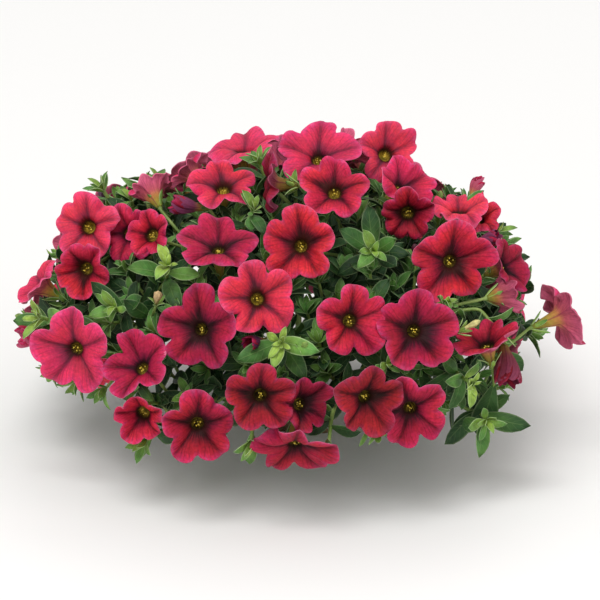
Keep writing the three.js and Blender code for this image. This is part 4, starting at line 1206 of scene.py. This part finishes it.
# A surface of two tints in patches, with a grain over them where one is given.
def makeSkin(name, roughness, tints, patches, grain=None, strength=0.4, depth=0.0002, rugged=False):
    material, tree = startMaterial(name, roughness)
    spots = mottled(tree, patches)
    colour = blend(tree, spots, *[tint(code) for code in tints])
    if grain is None:
        finish(tree, colour)
        return material
    fine = mottled(tree, *grain)
    finish(tree, shaded(tree, colour, fine), plus(tree, spots, fine) if rugged else fine, strength, depth)
    return material


skins = {  # roughness, tints, size of the patches, grain and its relief
    "anther": {"roughness": 0.5, "tints": ("#c9a41c", "#efd95a"), "patches": 1800.0},
    "stemSkin": {
        "roughness": 0.55, "tints": ("#6c8a3a", "#93a85a"), "patches": 120.0, "grain": (1500.0, 0.85, 1.15),
    },
    "bark": {
        "roughness": 0.9, "tints": ("#4a3a26", "#8b7352"), "patches": 220.0, "grain": (1400.0, 0.7, 1.2),
        "strength": 0.8, "depth": 0.0006, "rugged": True,
    },
}

petalFace = makePetalFace()
petalBack = makePetalBack()
leafSkin = makeLeafSkin()
budSkin = makeBudSkin()
anther, stemSkin, bark = [makeSkin(name, **skin) for name, skin in skins.items()]
print("materials made")


def deselect():
    bpy.ops.object.select_all(action="DESELECT")


def readPoints(mesh):
    points = np.empty(len(mesh.vertices) * 3)
    mesh.vertices.foreach_get("co", points)
    return points.reshape(-1, 3)


def writePoints(mesh, points):
    mesh.vertices.foreach_set("co", np.asarray(points, np.float32).ravel())
    mesh.update()


# Gives each point of a mesh its own value, which the materials read.
def addAttribute(mesh, name, kind, values):
    layer = mesh.attributes.new(name, kind, "POINT")
    field = {"FLOAT": "value", "FLOAT_VECTOR": "vector", "FLOAT_COLOR": "color"}[kind]
    layer.data.foreach_set(field, np.asarray(values, np.float32).ravel())


# A closed form raised from a filled circle, ring by ring, through radii and heights in millimetres.
def raiseRings(name, sides, rings):
    deselect()
    radius, height = rings[0]
    bpy.ops.mesh.primitive_circle_add(vertices=sides, radius=radius, fill_type="NGON",
                                      location=(0, 0, height))
    piece = bpy.context.object
    piece.name = name
    bpy.ops.object.mode_set(mode="EDIT")
    bpy.ops.mesh.select_all(action="SELECT")
    for nextRadius, nextHeight in rings[1:]:
        bpy.ops.mesh.extrude_region_move(TRANSFORM_OT_translate={"value": (0, 0, nextHeight - height)})
        grow = nextRadius / radius
        bpy.ops.transform.resize(value=(grow, grow, 1), center_override=(0, 0, nextHeight))
        radius, height = nextRadius, nextHeight
    bpy.ops.mesh.select_all(action="SELECT")
    bpy.ops.mesh.normals_make_consistent(inside=False)
    bpy.ops.object.mode_set(mode="OBJECT")
    bpy.ops.object.transform_apply(location=True, rotation=True, scale=True)
    bpy.ops.object.shade_smooth()
    return piece


# Which ring each point of a raised form belongs to.
def ringIndex(points, rings):
    outline = np.array(rings)
    radius = np.hypot(points[:, 0], points[:, 1])
    far = (radius[:, None] - outline[:, 0]) ** 2 + (points[:, 2:3] - outline[:, 1]) ** 2
    return far.argmin(1)


def joinPieces(pieces, name):
    deselect()
    for piece in pieces:
        piece.select_set(True)
    bpy.context.view_layer.objects.active = pieces[0]
    if len(pieces) > 1:
        bpy.ops.object.join()
    pieces[0].name = name
    pieces[0].data.name = name
    return pieces[0]


def copyOf(master, name):
    piece = bpy.data.objects.new(name, master.data.copy())
    bpy.context.scene.collection.objects.link(piece)
    return piece


# Radius, height and place along the petal: up the outside of the tube, over the rim and into the throat
bloomRings = {
    "sides": 90, "radius": 15, "tube": 16.5, "throat": 3.5, "depth": 6.2,
    "back": [
        (1.2, -16.5, 0), (1.5, -14.6, 0.07), (2.1, -11.8, 0.16), (2.9, -8.6, 0.27), (3.5, -6.2, 0.36),
        (4.6, -4.9, 0.44), (6.2, -3.5, 0.53), (8.4, -2.1, 0.65), (10.8, -1.2, 0.78), (13.0, -0.7, 0.9),
        (14.5, -0.4, 0.97), (15.0, -0.15, 1.0),
    ],
    "face": [
        (14.9, 0.08, 0.99), (14.3, 0.06, 0.955), (13.2, -0.04, 0.89), (12.0, -0.18, 0.81), (10.8, -0.4, 0.74),
        (9.6, -0.68, 0.66), (8.4, -1.05, 0.59), (7.2, -1.55, 0.52), (6.0, -2.15, 0.44), (4.9, -2.8, 0.37),
        (4.0, -3.4, 0.31), (3.3, -4.1, 0.26), (2.8, -5.0, 0.21), (2.45, -6.0, 0.16), (2.1, -7.2, 0.1),
        (1.7, -8.6, 0.05), (0.9, -9.2, 0.0),
    ],
}
stamenShape = {
    "count": 5, "out": 1.0, "height": -5.2, "size": 0.36, "tall": 1.5, "stigma": 0.42, "stigmaHeight": -5.0,
    "astray": 0.55, "smallest": 0.55, "larger": 0.7,
}


# A flat round bloom with its stamens and stigma, from which every bloom is shaped.
def makeBloomMaster():
    rows = bloomRings["back"] + bloomRings["face"]
    rings = [(radius, height) for radius, height, _ in rows]
    piece = raiseRings("bloomMaster", bloomRings["sides"], rings)
    mesh = piece.data
    for material in (petalFace, petalBack, anther):
        mesh.materials.append(material)
    index = ringIndex(readPoints(mesh), rings)
    backs = len(bloomRings["back"])
    for face in mesh.polygons:
        ring = [index[v] for v in face.vertices]
        face.material_index = 1 if min(ring) < backs and max(ring) <= backs else 0
    parts = [piece]
    for k in range(stamenShape["count"] + 1):
        deselect()
        stigma = k == stamenShape["count"]
        spot = polar(0 if stigma else stamenShape["out"], 360 / stamenShape["count"] * k,
                     stamenShape["stigmaHeight" if stigma else "height"])
        size = stamenShape["stigma" if stigma else "size"]
        bpy.ops.mesh.primitive_ico_sphere_add(subdivisions=1, radius=size, location=spot)
        knob = bpy.context.object
        knob.scale = (1, 1, stamenShape["tall"])
        bpy.ops.object.transform_apply(location=True, rotation=True, scale=True)
        bpy.ops.object.shade_smooth()
        knob.data.materials.append(anther)
        parts.append(knob)
    return joinPieces(parts, "bloomMaster"), index, np.array([along for _, _, along in rows])


bloomMaster, bloomRing, bloomAlong = makeBloomMaster()
bloomPoints = readPoints(bloomMaster.data)
petalCount = len(bloomRing)

lobeCount = bloomShape["lobes"]
lobeTurn = 360 / lobeCount
petalForm = {
    "notch": 0.67, "notchSpread": 0.1, "blunt": (2.1, 1.6), "corner": 1.4, "dent": 0.06, "point": 0.07,
    "uneven": 0.06, "aside": 6.5, "asides": 10, "skew": 0.5, "hump": 1.4, "humpSpread": 0.8, "humpFrom": 1.3,
    "groove": 1.0, "grooveWidth": 0.13, "grooveFull": 0.7, "lift": 2.2, "seamLift": 1.5, "roll": 3.4,
    "rarely": 1.5, "rollFrom": 5, "ruffles": ((0.7, 3), (0.55, 7), (0.28, 13)), "crumple": 0.3,
    "crumples": (4, 6, 9), "crumpleTurn": 6, "crumpleInner": 0.4, "under": 1.7, "past": 1.5, "above": 8,
    "funnel": ((2.5, 4.6, 8.4, 12), (8, 3.6, 0.8, 0)),  # how deep the underside of a bloom is, at radii
}

# How far some rims lie back, bow down in front and rise at their right
limbSets = {
    "07": (1, 0, 0), "08": (1.5, 5, 4.5), "09": (2, 0, 0), "12": (2.6, 0, 0), "35": (2, 4, 0),
    "37": (1.5, 3, 0), "41": (3, 0, 0),
}

closing = {
    "ahead": 0.95, "narrow": 0.64, "twist": 50, "length": 27, "shortest": 10, "lobe": 0.1, "calyx": 1.3,
    "from": 200,
    "kinds": {"pink": 0.85, "dark": 0.9, "purple": 1, "red": 0.3},  # the tone of each kind that closes
    "withered": {"pink": 0.1, "dark": 0.75, "purple": 1, "red": 0.2},
}

# How much each bloom's colour is darkened as painted shade or lightened as painted light, and how narrow the
# dark ring round its throat, where it isn't drawn
bloomShadeAndRing = {
    "01": (1.3, 0.1), "02": (1.1, 0.08), "03": (1.0, 0.15), "04": (1, 0.02), "05": (1.3, 0.1),
    "07": (1.17, 0.04), "08": (1.3, 0.16), "09": (1, 0.1), "10": (1.15, 0.1), "12": (0.5, 0.05),
    "13": (0.9, 0.03), "14": (1.05, -0.03), "15": (1.15, 0.02), "16": (0.7, -0.06), "17": (0.88, 0.1),
    "18": (1.2, 0.08), "19": (1, 0.1), "20": (0.8, -0.02), "21": (0.58, -0.02), "22": (0.55, -0.04),
    "23": (0.75, 0.04), "24": (0.95, 0.04), "25": (0.75, -0.08), "26": (0.5, 0), "27": (0.84, 0),
    "28": (0.95, -0.04), "29": (1.1, 0.07), "30": (0.8, 0.04), "31": (1.3, 0.06), "32": (1.2, 0.1),
    "33": (1.05, 0), "35": (1.25, 0.2), "37": (1, 0.16), "40": (0.65, 0.08), "41": (1, 0.1),
    "42": (0.72, 0.1), "43": (0.75, 0.08),
    "pink": (0.95, 0.1), "dark": (0.7, 0.1), "purple": (0.75, 0.1), "red": (0.45, 0),
}
# Blooms not listed get a painted shade or light, and a ring width, drawn at random
otherShadeAndRing = {"depth": 0.85, "deeper": 0.25, "ring": 0.12}
unevenRing = (0.05, 0.04, 0.03)  # how the ring's width changes round the throat, in one wave, two and three


def shadeRingAndWitherOf(name, draw):
    drawn = (otherShadeAndRing["depth"] + otherShadeAndRing["deeper"] * draw(), otherShadeAndRing["ring"] * draw())
    depth, ring = bloomShadeAndRing.get(name, drawn)
    return depth, ring, closing["withered"].get(name, 0)


# How far points lie along a bloom's axis from its mouth, and how far out from the axis.
def fromMouth(points, bloom):
    away = points - bloom["mouth"]
    height = away @ bloom["axis"]
    return height, np.sqrt(np.maximum((away ** 2).sum(1) - height ** 2, 0))


# How far a bloom's petals give way where a nearer bloom lies over them.
def yieldTo(world, above, share):
    height, out = fromMouth(world, above)
    cover = np.clip((above["radius"] + petalForm["past"] - out) / petalForm["past"], 0, 1) * share
    below = petalForm["under"] + np.interp(out, *petalForm["funnel"])
    over = np.clip(height + below, 0, None) * (height < petalForm["above"])
    return world - (cover * over)[:, None] * above["axis"]


overlap = {"step": 20, "shares": (0.4, 0.7, 0.95), "near": 6}  # where a limb is tested against the others


# The blooms whose limbs cross a bloom's own and lie over it.
def bloomsOver(bloom):
    over = []
    turns = np.radians(np.arange(0, 360, overlap["step"]))
    circle = np.outer(np.cos(turns), bloom["u"]) + np.outer(np.sin(turns), bloom["v"])
    limb = np.vstack([bloom["mouth"] + share * bloom["radius"] * circle for share in overlap["shares"]])
    for other in blooms:
        if other is bloom or math.dist(other["mouth"], bloom["mouth"]) > other["radius"] + bloom["radius"]:
            continue
        height, out = fromMouth(limb, other)
        inside = (out < other["radius"]) & (np.abs(height) < overlap["near"])
        if inside.any() and height[inside].mean() < 0:
            over.append(other)
    return over


# One value for each lobe, drawn up to a spread from the middle.
def perLobe(draw, spread, middle=0):
    return np.array([middle + spread * swing(draw) for _ in range(lobeCount)])


def bell(across):
    return np.exp(-(across / petalForm["grooveWidth"]) ** 2)


# Where each point of the master lies in the five lobes.
masterTurn = np.degrees(np.arctan2(bloomPoints[:petalCount, 1], bloomPoints[:petalCount, 0])) % 360
masterRadius = np.hypot(bloomPoints[:petalCount, 0], bloomPoints[:petalCount, 1])
masterHeight = bloomPoints[:petalCount, 2]
lobeOf = np.round(masterTurn / lobeTurn).astype(int) % lobeCount
seamOf = np.floor(masterTurn / lobeTurn).astype(int) % lobeCount
lobeOffset = (masterTurn / lobeTurn + 0.5) % 1 - 0.5
lobeAcross = np.abs(lobeOffset) * 2
neighbourOf = (lobeOf + np.where(lobeOffset > 0, 1, -1)) % lobeCount
limbWidth = bloomRings["radius"] - bloomRings["throat"]
limbShare = np.clip((masterRadius - bloomRings["throat"]) / limbWidth, 0, 1)


# How far out each point of a bloom lies: its lobes differ in length, bluntness, notches and tips.
def limbReach(bloom, draw):
    form = petalForm
    lengths = np.array([length for length, _ in bloom["lobes"]]) + perLobe(draw, form["uneven"])
    blunt = np.array([form["blunt"][0] + form["blunt"][1] * draw() for _ in range(lobeCount)])[lobeOf]
    cut = perLobe(draw, form["notchSpread"], form["notch"])[seamOf]
    own, notch = lengths[lobeOf], cut * 0.5 * (lengths[lobeOf] + lengths[neighbourOf])
    skews = perLobe(draw, form["skew"])[lobeOf] * lobeOffset * 2
    full = np.maximum(1 - lobeAcross ** blunt, 0) ** (1 / form["corner"])
    outline = notch + (own - notch) * (1 + skews) * full
    tips = np.array([form["point"] * draw() - form["dent"] * draw() for _ in range(lobeCount)])[lobeOf]
    outline += tips * bell(lobeAcross)
    return masterRadius + limbShare * (bloom["radius"] * outline - bloomRings["radius"])


# How high each point lies: lobes and seams lift, the blade humps, ruffles and rolls back at its rim.
def limbHeight(bloom, draw):
    form = petalForm
    lifts = np.array([lift for _, lift in bloom["lobes"]])
    seam = 0.5 * (lifts[lobeOf] + lifts[neighbourOf]) + perLobe(draw, form["seamLift"])[seamOf]
    lift = form["lift"] * (lifts[lobeOf] + (seam - lifts[lobeOf]) * lobeAcross ** 2)
    humps = perLobe(draw, form["humpSpread"], form["hump"])[lobeOf]
    hump = humps * np.sin(np.pi * np.clip(lobeAcross, 0, 1)) * limbShare ** form["humpFrom"]
    ruffle = np.zeros(petalCount)
    for size, waves in form["ruffles"]:
        ruffle += size * np.sin(np.radians(masterTurn) * waves + 2 * np.pi * draw())
    for waves in form["crumples"]:
        course = np.radians(masterTurn) * waves + form["crumpleTurn"] * draw() * limbShare
        crumple = np.sin(course + 2 * np.pi * draw())
        ruffle += form["crumple"] * crumple / np.maximum(limbShare, form["crumpleInner"])
    rolls = np.array([form["roll"] * draw() ** form["rarely"] for _ in range(lobeCount)])
    own, between = rolls[lobeOf], 0.5 * (rolls[lobeOf] + rolls[neighbourOf])
    roll = own + (between - own) * lobeAcross ** 2
    middle = np.sin(np.pi * np.clip(limbShare, 0, 1)) ** form["grooveFull"]
    groove = form["groove"] * bell(lobeAcross) * middle
    height = masterHeight + limbShare ** 2 * lift + hump + limbShare ** 3 * ruffle
    height = height - roll * limbShare ** form["rollFrom"] - groove
    depth = bloomRings["depth"]
    stretch = (bloom["tube"] - depth) / (bloomRings["tube"] - depth)
    return np.where(masterHeight < -depth, -depth + (masterHeight + depth) * stretch, height)


# The stamens and the stigma, each a little astray and of its own size.
def scatterKnobs(draw):
    knobs = bloomPoints[petalCount:].reshape(stamenShape["count"] + 1, -1, 3)
    middles = knobs.mean(1, keepdims=True)
    astray = stamenShape["astray"] * np.array([[swing(draw) for _ in range(3)] for _ in knobs])
    sizes = np.array([stamenShape["smallest"] + stamenShape["larger"] * draw() for _ in knobs])
    return (middles + astray[:, None] + sizes[:, None, None] * (knobs - middles)).reshape(-1, 3)


# One bloom from the master, open, or folded forward by a share.
def growBloom(bloom, at, fold=0):
    draw = seeded(seeds["bloom"] + at)
    reach = limbReach(bloom, draw)
    height = limbHeight(bloom, draw)
    back, bow, rise = limbSets.get(bloom["name"], (0, 0, 0))
    asides = [petalForm["aside"] * swing(draw) for _ in range(petalForm["asides"])]
    steps = np.arange(petalForm["asides"] + 1) * 360 / petalForm["asides"]
    angle = np.radians(masterTurn + limbShare * np.interp(masterTurn, steps, asides + asides[:1]))
    limb = np.outer(np.cos(angle), bloom["u"]) + np.outer(np.sin(angle), bloom["v"])
    height += limbShare * (rise * limb @ front["right"] - bow * limb @ front["toward"] - back)
    height += fold * closing["ahead"] * limbShare * bloom["radius"]
    reach -= fold * closing["narrow"] * limbShare * (reach - bloomRings["throat"])
    twisted = angle + fold * math.radians(closing["twist"]) * limbShare ** 2
    local = np.column_stack([reach * np.cos(twisted), reach * np.sin(twisted), height])
    local = np.vstack([local, scatterKnobs(draw)]) * bloom.get("scale", 1)
    world = bloom["mouth"] + local @ np.array([bloom["u"], bloom["v"], bloom["axis"]])
    for above in bloomsOver(bloom):
        world[:petalCount] = yieldTo(world[:petalCount], above, limbShare)
    piece = copyOf(bloomMaster, f"bloom_{bloom['name']}_petals")
    writePoints(piece.data, world * metres)
    along = bloomAlong[bloomRing]
    facts = {
        "petal": np.column_stack([lobeAcross, along, np.full(petalCount, bloom["tone"])]),
        "around": np.column_stack([np.cos(angle), np.sin(angle), along + at]),
    }
    rest = np.zeros((len(bloomPoints) - petalCount, 3))
    for name, values in facts.items():
        addAttribute(piece.data, name, "FLOAT_VECTOR", np.vstack([values, rest]))
    # Each point carries its bloom's painted shade or light, its ring width and how withered it is
    shadeRingWither = np.tile(shadeRingAndWitherOf(bloom["name"], draw), (len(local), 1))
    for waves, size in enumerate(unevenRing, 1):
        shadeRingWither[:petalCount, 1] += size * np.sin(waves * angle + 2 * np.pi * draw())
    addAttribute(piece.data, "shadeRingWither", "FLOAT_VECTOR", shadeRingWither)
    return piece


bloomNodes = {}
for names in metBlooms:
    for name in names:
        bloomNodes[name] = f"blooms_{names[0]}"

for at, bloom in enumerate(blooms):
    piece = growBloom(bloom, at)
    if bloom["fused"]:
        node = f"leafy_stem_{bloom['stem']:02d}"
    else:
        node = bloomNodes.get(bloom["name"], f"bloom_{bloom['name']}")
    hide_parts(node)
    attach(piece, "root")
print("blooms grown:", len(blooms))

leafBlade = {
    "across": 2, "along": 7, "thick": 0.3, "foot": 0.1, "full": 0.93, "widest": (1.15, 0.4),
    # From ageing to deepest: the painted shade of leaves deep in the mound, drawn as extra age: its strength,
    # where along a leaf its depth is taken, how far in it starts, and its most
    "round": (0.55, 0.3), "curl": 0.12, "sway": 0.12, "sunk": 0.3, "ageing": 2.1, "shadeDepthAt": 0.6,
    "shade": 0.98, "deepest": 0.3, "budding": 0.62, "grownBy": 0.5,
}


def makeLeafMaster():
    deselect()
    bpy.ops.mesh.primitive_grid_add(x_subdivisions=leafBlade["across"], y_subdivisions=leafBlade["along"],
                                    size=2)
    piece = bpy.context.object
    piece.name = "leafMaster"
    thick = piece.modifiers.new("thick", "SOLIDIFY")
    thick.thickness = leafBlade["thick"]
    thick.offset = -1
    bpy.ops.object.modifier_apply(modifier="thick")
    bpy.ops.object.shade_smooth()
    piece.data.materials.append(leafSkin)
    return piece


# Painted shade: how much older, and so darker, a leaf is drawn, the deeper in the mound it is.
def paintedShadeByDepth(spot):
    half = mound["rise"] if spot[2] > mound["middle"] else mound["drop"]
    out = math.hypot(spot[0] / mound["radius"], spot[1] / mound["radius"], (spot[2] - mound["middle"]) / half)
    return leafBlade["ageing"] * min(max(leafBlade["shade"] - out, 0), leafBlade["deepest"])


leafMaster = makeLeafMaster()
leafGrid = readPoints(leafMaster.data)


# One leaf from the master: narrow at its foot, widest past its middle, folded and drooping.
def growBlade(leaf, at, pieces):
    across, along, thick = leafGrid[:, 0], leafGrid[:, 1] * 0.5 + 0.5, leafGrid[:, 2]
    draw = seeded(seeds["leaf"] + at)
    shape = leafBlade
    widest = along ** (shape["widest"][0] + shape["widest"][1] * draw())
    bulge = np.sin(np.pi * widest) ** (shape["round"][0] + shape["round"][1] * draw())
    outline = shape["foot"] * (1 - along) + shape["full"] * bulge
    grown = min(1, shape["budding"] + (1 - shape["budding"]) * leaf["age"] / shape["grownBy"])
    half = across * outline * leaf["width"] * 0.5 * grown
    curl = shape["curl"] * swing(draw)
    sway = shape["sway"] * swing(draw) * leaf["length"]
    bend = leaf["length"] * (leafShape["droop"] * along ** 2 + curl * np.sin(np.pi * along))
    lift = np.abs(half) * leafShape["fold"] - bend + thick
    local = (np.outer(leaf["length"] * grown * along, leaf["along"])
             + np.outer(half + sway * along ** 2 * 0.5, leaf["side"]) + np.outer(lift, leaf["up"]))
    piece = copyOf(leafMaster, "leaf")
    writePoints(piece.data, (leaf["root"] - shape["sunk"] * leaf["along"] + local) * metres)
    # Painted shade: the deeper the leaf lies in the mound, the older and darker it is drawn
    age = leaf["age"] + paintedShadeByDepth(leaf["root"] + shape["shadeDepthAt"] * leaf["length"] * leaf["along"])
    addAttribute(piece.data, "age", "FLOAT", np.full(len(leafGrid), age))
    pieces.append(piece)


sepalShape = {"count": 5, "length": 9.2, "width": 0.23, "out": 3.4, "rise": 6.4, "foot": 0.5, "age": 0.4}


# The calyx: five narrow sepals round the base of a bloom or a bud.
def growCalyx(seat, axis, u, v, size, pieces, at):
    for k in range(sepalShape["count"]):
        angle = math.radians(360 / sepalShape["count"] * k)
        out = math.cos(angle) * u + math.sin(angle) * v
        along = unit(sepalShape["out"] * out + sepalShape["rise"] * axis)
        sepal = makeLeaf(seat + sepalShape["foot"] * out, along, squareTo(axis, along),
                         sepalShape["length"] * size, sepalShape["width"], age=sepalShape["age"])
        growBlade(sepal, at * sepalShape["count"] + k, pieces)


budForm = {
    "sides": 20,
    "rings": [(0.3, 0), (0.42, 0.12), (0.5, 0.25), (0.56, 0.38), (0.72, 0.5), (0.92, 0.62), (1.0, 0.74),
              (0.9, 0.84), (0.6, 0.93), (0.2, 1.0)],
    "pleat": 0.16, "pleats": 5, "twist": 70, "calyx": (0.55, 0.02),
}
budTints = {
    "dark": "#4a1426", "purple": "#5c2c55", "pink": "#c24a74", "red": "#8e1230", "green": "#83a04c",
    "tan": "#bfa072", "pale": "#c8bf7c",
}


budMaster = raiseRings("budMaster", budForm["sides"], budForm["rings"])
budMaster.data.materials.append(budSkin)
budPoints = readPoints(budMaster.data)


# A bloom that closes: its limb folded forward and twisted.
def growClosing(bud, at, pieces):
    u, v = frameAbout(bud["axis"], up, side)
    draw = seeded(seeds["closing"] + at)
    scale = bud["length"] / closing["length"]
    tube = bloomRings["tube"]
    bloom = {
        "name": bud["kind"], "tone": closing["kinds"][bud["kind"]], "axis": bud["axis"], "u": u, "v": v,
        "mouth": bud["seat"] + tube * scale * bud["axis"], "radius": bloomRings["radius"], "tube": tube,
        "scale": scale, "lobes": [(1 + closing["lobe"] * draw(), swing(draw)) for _ in range(lobeCount)],
    }
    pieces.append(growBloom(bloom, closing["from"] + at, 1))
    growCalyx(bud["seat"], bud["axis"], u, v, closing["calyx"] * scale, pieces, at)


# A bud, furled and pleated, or a larger one that is a bloom closing.
def growBud(bud, at, pieces):
    if bud["length"] >= closing["shortest"] and bud["kind"] in closing["kinds"]:
        growClosing(bud, at, pieces)
        return
    u, v = frameAbout(bud["axis"], up, side)
    radius, height = np.hypot(budPoints[:, 0], budPoints[:, 1]), budPoints[:, 2]
    angle = np.arctan2(budPoints[:, 1], budPoints[:, 0])
    pleats = 1 + budForm["pleat"] * height * np.cos(budForm["pleats"] * angle)
    reach = radius * pleats * bud["width"] / 2
    angle = angle + np.radians(budForm["twist"]) * height ** 2
    local = (np.outer(reach * np.cos(angle), u) + np.outer(reach * np.sin(angle), v)
             + np.outer(height * bud["length"], bud["axis"]))
    piece = copyOf(budMaster, "bud")
    writePoints(piece.data, (bud["seat"] + local) * metres)
    addAttribute(piece.data, "budHeight", "FLOAT", height)
    addAttribute(piece.data, "budTint", "FLOAT_COLOR", np.tile(tint(budTints[bud["kind"]]), (len(height), 1)))
    pieces.append(piece)
    smallest, larger = budForm["calyx"]
    growCalyx(bud["seat"], bud["axis"], u, v, smallest + larger * bud["length"], pieces, at)


# A stem is sunk into the crown and swells where it leaves it
stemForm = {
    "bend": 2.5, "rounding": (0, 0.33, 0.67, 1), "resolution": 1, "sunk": 0.7, "swell": 1.5,
    "swollen": 6, "end": 0.4, "wider": 1.1, "calyx": 0.6,
}


# A line's points with each corner rounded, and its radius at each.
def roundCorners(line):
    corners = line["corners"]
    points = [corners[0]]
    for before, corner, after in zip(corners, corners[1:], corners[2:]):
        back, ahead = unit(before - corner), unit(after - corner)
        reach = min(stemForm["bend"], math.dist(before, corner) / 2, math.dist(corner, after) / 2)
        curve = quadratic(corner + reach * back, corner, corner + reach * ahead)
        points += [curve(share) for share in stemForm["rounding"]]
    return points + [corners[-1]]


# A leafy stem's bare stems: a round line for each of its own, its branches, shoots and pedicels.
def growStems(stem):
    curve = bpy.data.curves.new("stemLines", "CURVE")
    curve.dimensions = "3D"
    curve.bevel_depth = metres
    curve.bevel_resolution = stemForm["resolution"]
    curve.use_fill_caps = True
    for line in [line for line in lines if line["stem"] == stem]:
        points = roundCorners(line)
        start = points[0]
        rooted = math.dist(start, crownHead) < crownShape["head"] + 1
        if rooted:
            points[:1] = [crownHead + stemForm["sunk"] * (start - crownHead), start,
                          start + stemForm["swollen"] * unit(points[1] - start)]
        if "calyx" in line:
            points.append(line["calyx"]["base"] + stemForm["end"] * line["calyx"]["axis"])
        spline = curve.splines.new("POLY")
        spline.points.add(len(points) - 1)
        for i, (spot, point) in enumerate(zip(spline.points, points)):
            spot.co = (*(point * metres), 1)
            swell = stemForm["swell"] if rooted and i < 2 else 1
            spot.radius = line["radius"] * swell * (1 - (1 - stemRadii["taper"]) * i / (len(points) - 1))
        if "calyx" in line:
            spline.points[-1].radius = bloomShape["baseRadius"] * stemForm["wider"]
        spline.use_smooth = True
    piece = bpy.data.objects.new("stemLines", curve)
    bpy.context.scene.collection.objects.link(piece)
    deselect()
    piece.select_set(True)
    bpy.context.view_layer.objects.active = piece
    bpy.ops.object.convert(target="MESH")
    piece = bpy.context.object
    piece.data.materials.append(stemSkin)
    return piece


for stem in range(1, len(stems) + 1):
    pieces = [growStems(stem)]
    for k, leaf in enumerate(leaves):
        if leaf["stem"] == stem:
            growBlade(leaf, k, pieces)
    for k, line in enumerate(lines):
        if line["stem"] == stem and "calyx" in line:
            bloom = line["calyx"]
            seat = bloom["base"] - stemForm["calyx"] * bloom["axis"]
            growCalyx(seat, bloom["axis"], bloom["u"], bloom["v"], 1, pieces, k)
        if line["stem"] == stem and "bud" in line:
            growBud(line["bud"], k, pieces)
    node = f"leafy_stem_{stem:02d}"
    piece = joinPieces(pieces, node + "_foliage")
    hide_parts(node)
    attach(piece, "root")
    print(node, len(piece.data.polygons), "faces")
for master in (leafMaster, bloomMaster, budMaster):
    bpy.data.objects.remove(master)

crownForm = {
    "sides": 72,
    "rings": [
        (14, 0), (13.9, 0.4), (13.3, 1.1), (11.6, 1.9), (9.8, 2.7), (8.4, 3.6), (7.2, 4.7), (6.4, 6),
        (6.3, 7.4), (7, 9.6), (8.4, 12.2), (9, 15), (8.6, 17.8), (7.4, 20.2), (5.2, 22.4), (2.6, 23.7),
        (0.6, 24),
    ],
    "rough": 0.35, "deep": 0.05, "grooves": 9, "slant": 0.5, "foot": 0.1, "roots": 7, "waist": 7,
    "between": 0.42,  # how far the bark draws in between its roots
    "sharp": 1.5, "wander": ((2, 0.35), (3, 0.2)),
}


# The woody crown: knotty and grooved, with roots that flare at its foot, where it is cut flat.
def makeCrown():
    form = crownForm
    piece = raiseRings("crown_wood", form["sides"], form["rings"])
    points = readPoints(piece.data)
    height = points[:, 2]
    draw = seeded(seeds["crown"])
    phases = [2 * math.pi * draw() for _ in range(3)]
    turn = np.arctan2(points[:, 1], points[:, 0])
    knots = sum(np.sin(turn * k * form["grooves"] / 2 + height * form["slant"] / k + phase)
                for k, phase in enumerate(phases, 1))
    grow = 1 - form["rough"] * form["deep"] * (1 + knots / len(phases)) * (height > form["foot"])
    wander = turn.copy()
    for (waves, size), phase in zip(form["wander"], phases):
        wander += size * np.sin(waves * turn + phase)
    gap = (0.5 - 0.5 * np.cos(form["roots"] * wander)) ** form["sharp"]
    flare = np.clip(1 - height / form["waist"], 0, 1)
    grow *= 1 - form["between"] * gap * flare
    points[:, :2] *= grow[:, None]
    writePoints(piece.data, points * metres)
    piece.data.materials.append(bark)
    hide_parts("crown")
    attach(piece, "root")


makeCrown()
print("crown made")

# The room, in metres: a paper floor, three lamps, and the camera with the width that it frames
studio = {
    "floor": 8.0, "paper": "#f6f5f3", "rough": 0.8, "world": 0.62, "distance": 3.0, "frame": 0.258,
    "elevation": layoutSlope, "centre": (0, 0, 0.0495), "raise": 0.0086, "target": (0, 0, 0.06),
}
lamps = {  # place, size and power
    "key": ((-0.5, -1.1, 2.0), 1.2, 29),
    "fill": ((1.4, -1.2, 0.9), 1.4, 6),
    "back": ((0.3, 1.4, 1.5), 1.2, 5),
}


def makeFloor():
    deselect()
    bpy.ops.mesh.primitive_plane_add(size=studio["floor"], location=(0, 0, 0))
    floor = bpy.context.object
    floor.name = "floor"
    material, tree = startMaterial("paper", studio["rough"])
    finish(tree, tint(studio["paper"]))
    floor.data.materials.append(material)


def makeLight(name, spot, size, power):
    light = bpy.data.lights.new(name, "AREA")
    light.size = size
    light.energy = power
    lamp = bpy.data.objects.new(name, light)
    lamp.location = spot
    lamp.rotation_euler = (Vector(studio["target"]) - Vector(spot)).to_track_quat("-Z", "Y").to_euler()
    bpy.context.scene.collection.objects.link(lamp)


def makeCamera():
    slope = math.radians(studio["elevation"])
    back = vec(0, -math.cos(slope), math.sin(slope))
    over = vec(0, math.sin(slope), math.cos(slope))
    centre = np.array(studio["centre"]) + studio["raise"] * over
    data = bpy.data.cameras.new("camera")
    data.lens = data.sensor_width * studio["distance"] / studio["frame"]
    camera = bpy.data.objects.new("camera", data)
    camera.location = centre + studio["distance"] * back
    camera.rotation_euler = (math.pi / 2 - slope, 0, 0)
    bpy.context.scene.collection.objects.link(camera)
    bpy.context.scene.camera = camera


def makeWorld():
    world = bpy.data.worlds.new("studio")
    world.use_nodes = True
    sky = world.node_tree.nodes["Background"].inputs
    sky["Color"].default_value = (1, 1, 1, 1)
    sky["Strength"].default_value = studio["world"]
    bpy.context.scene.world = world
    bpy.context.scene.view_settings.view_transform = "Standard"


makeFloor()
for name, lamp in lamps.items():
    makeLight(name, *lamp)
makeCamera()
makeWorld()
print("stage, lights and camera set")
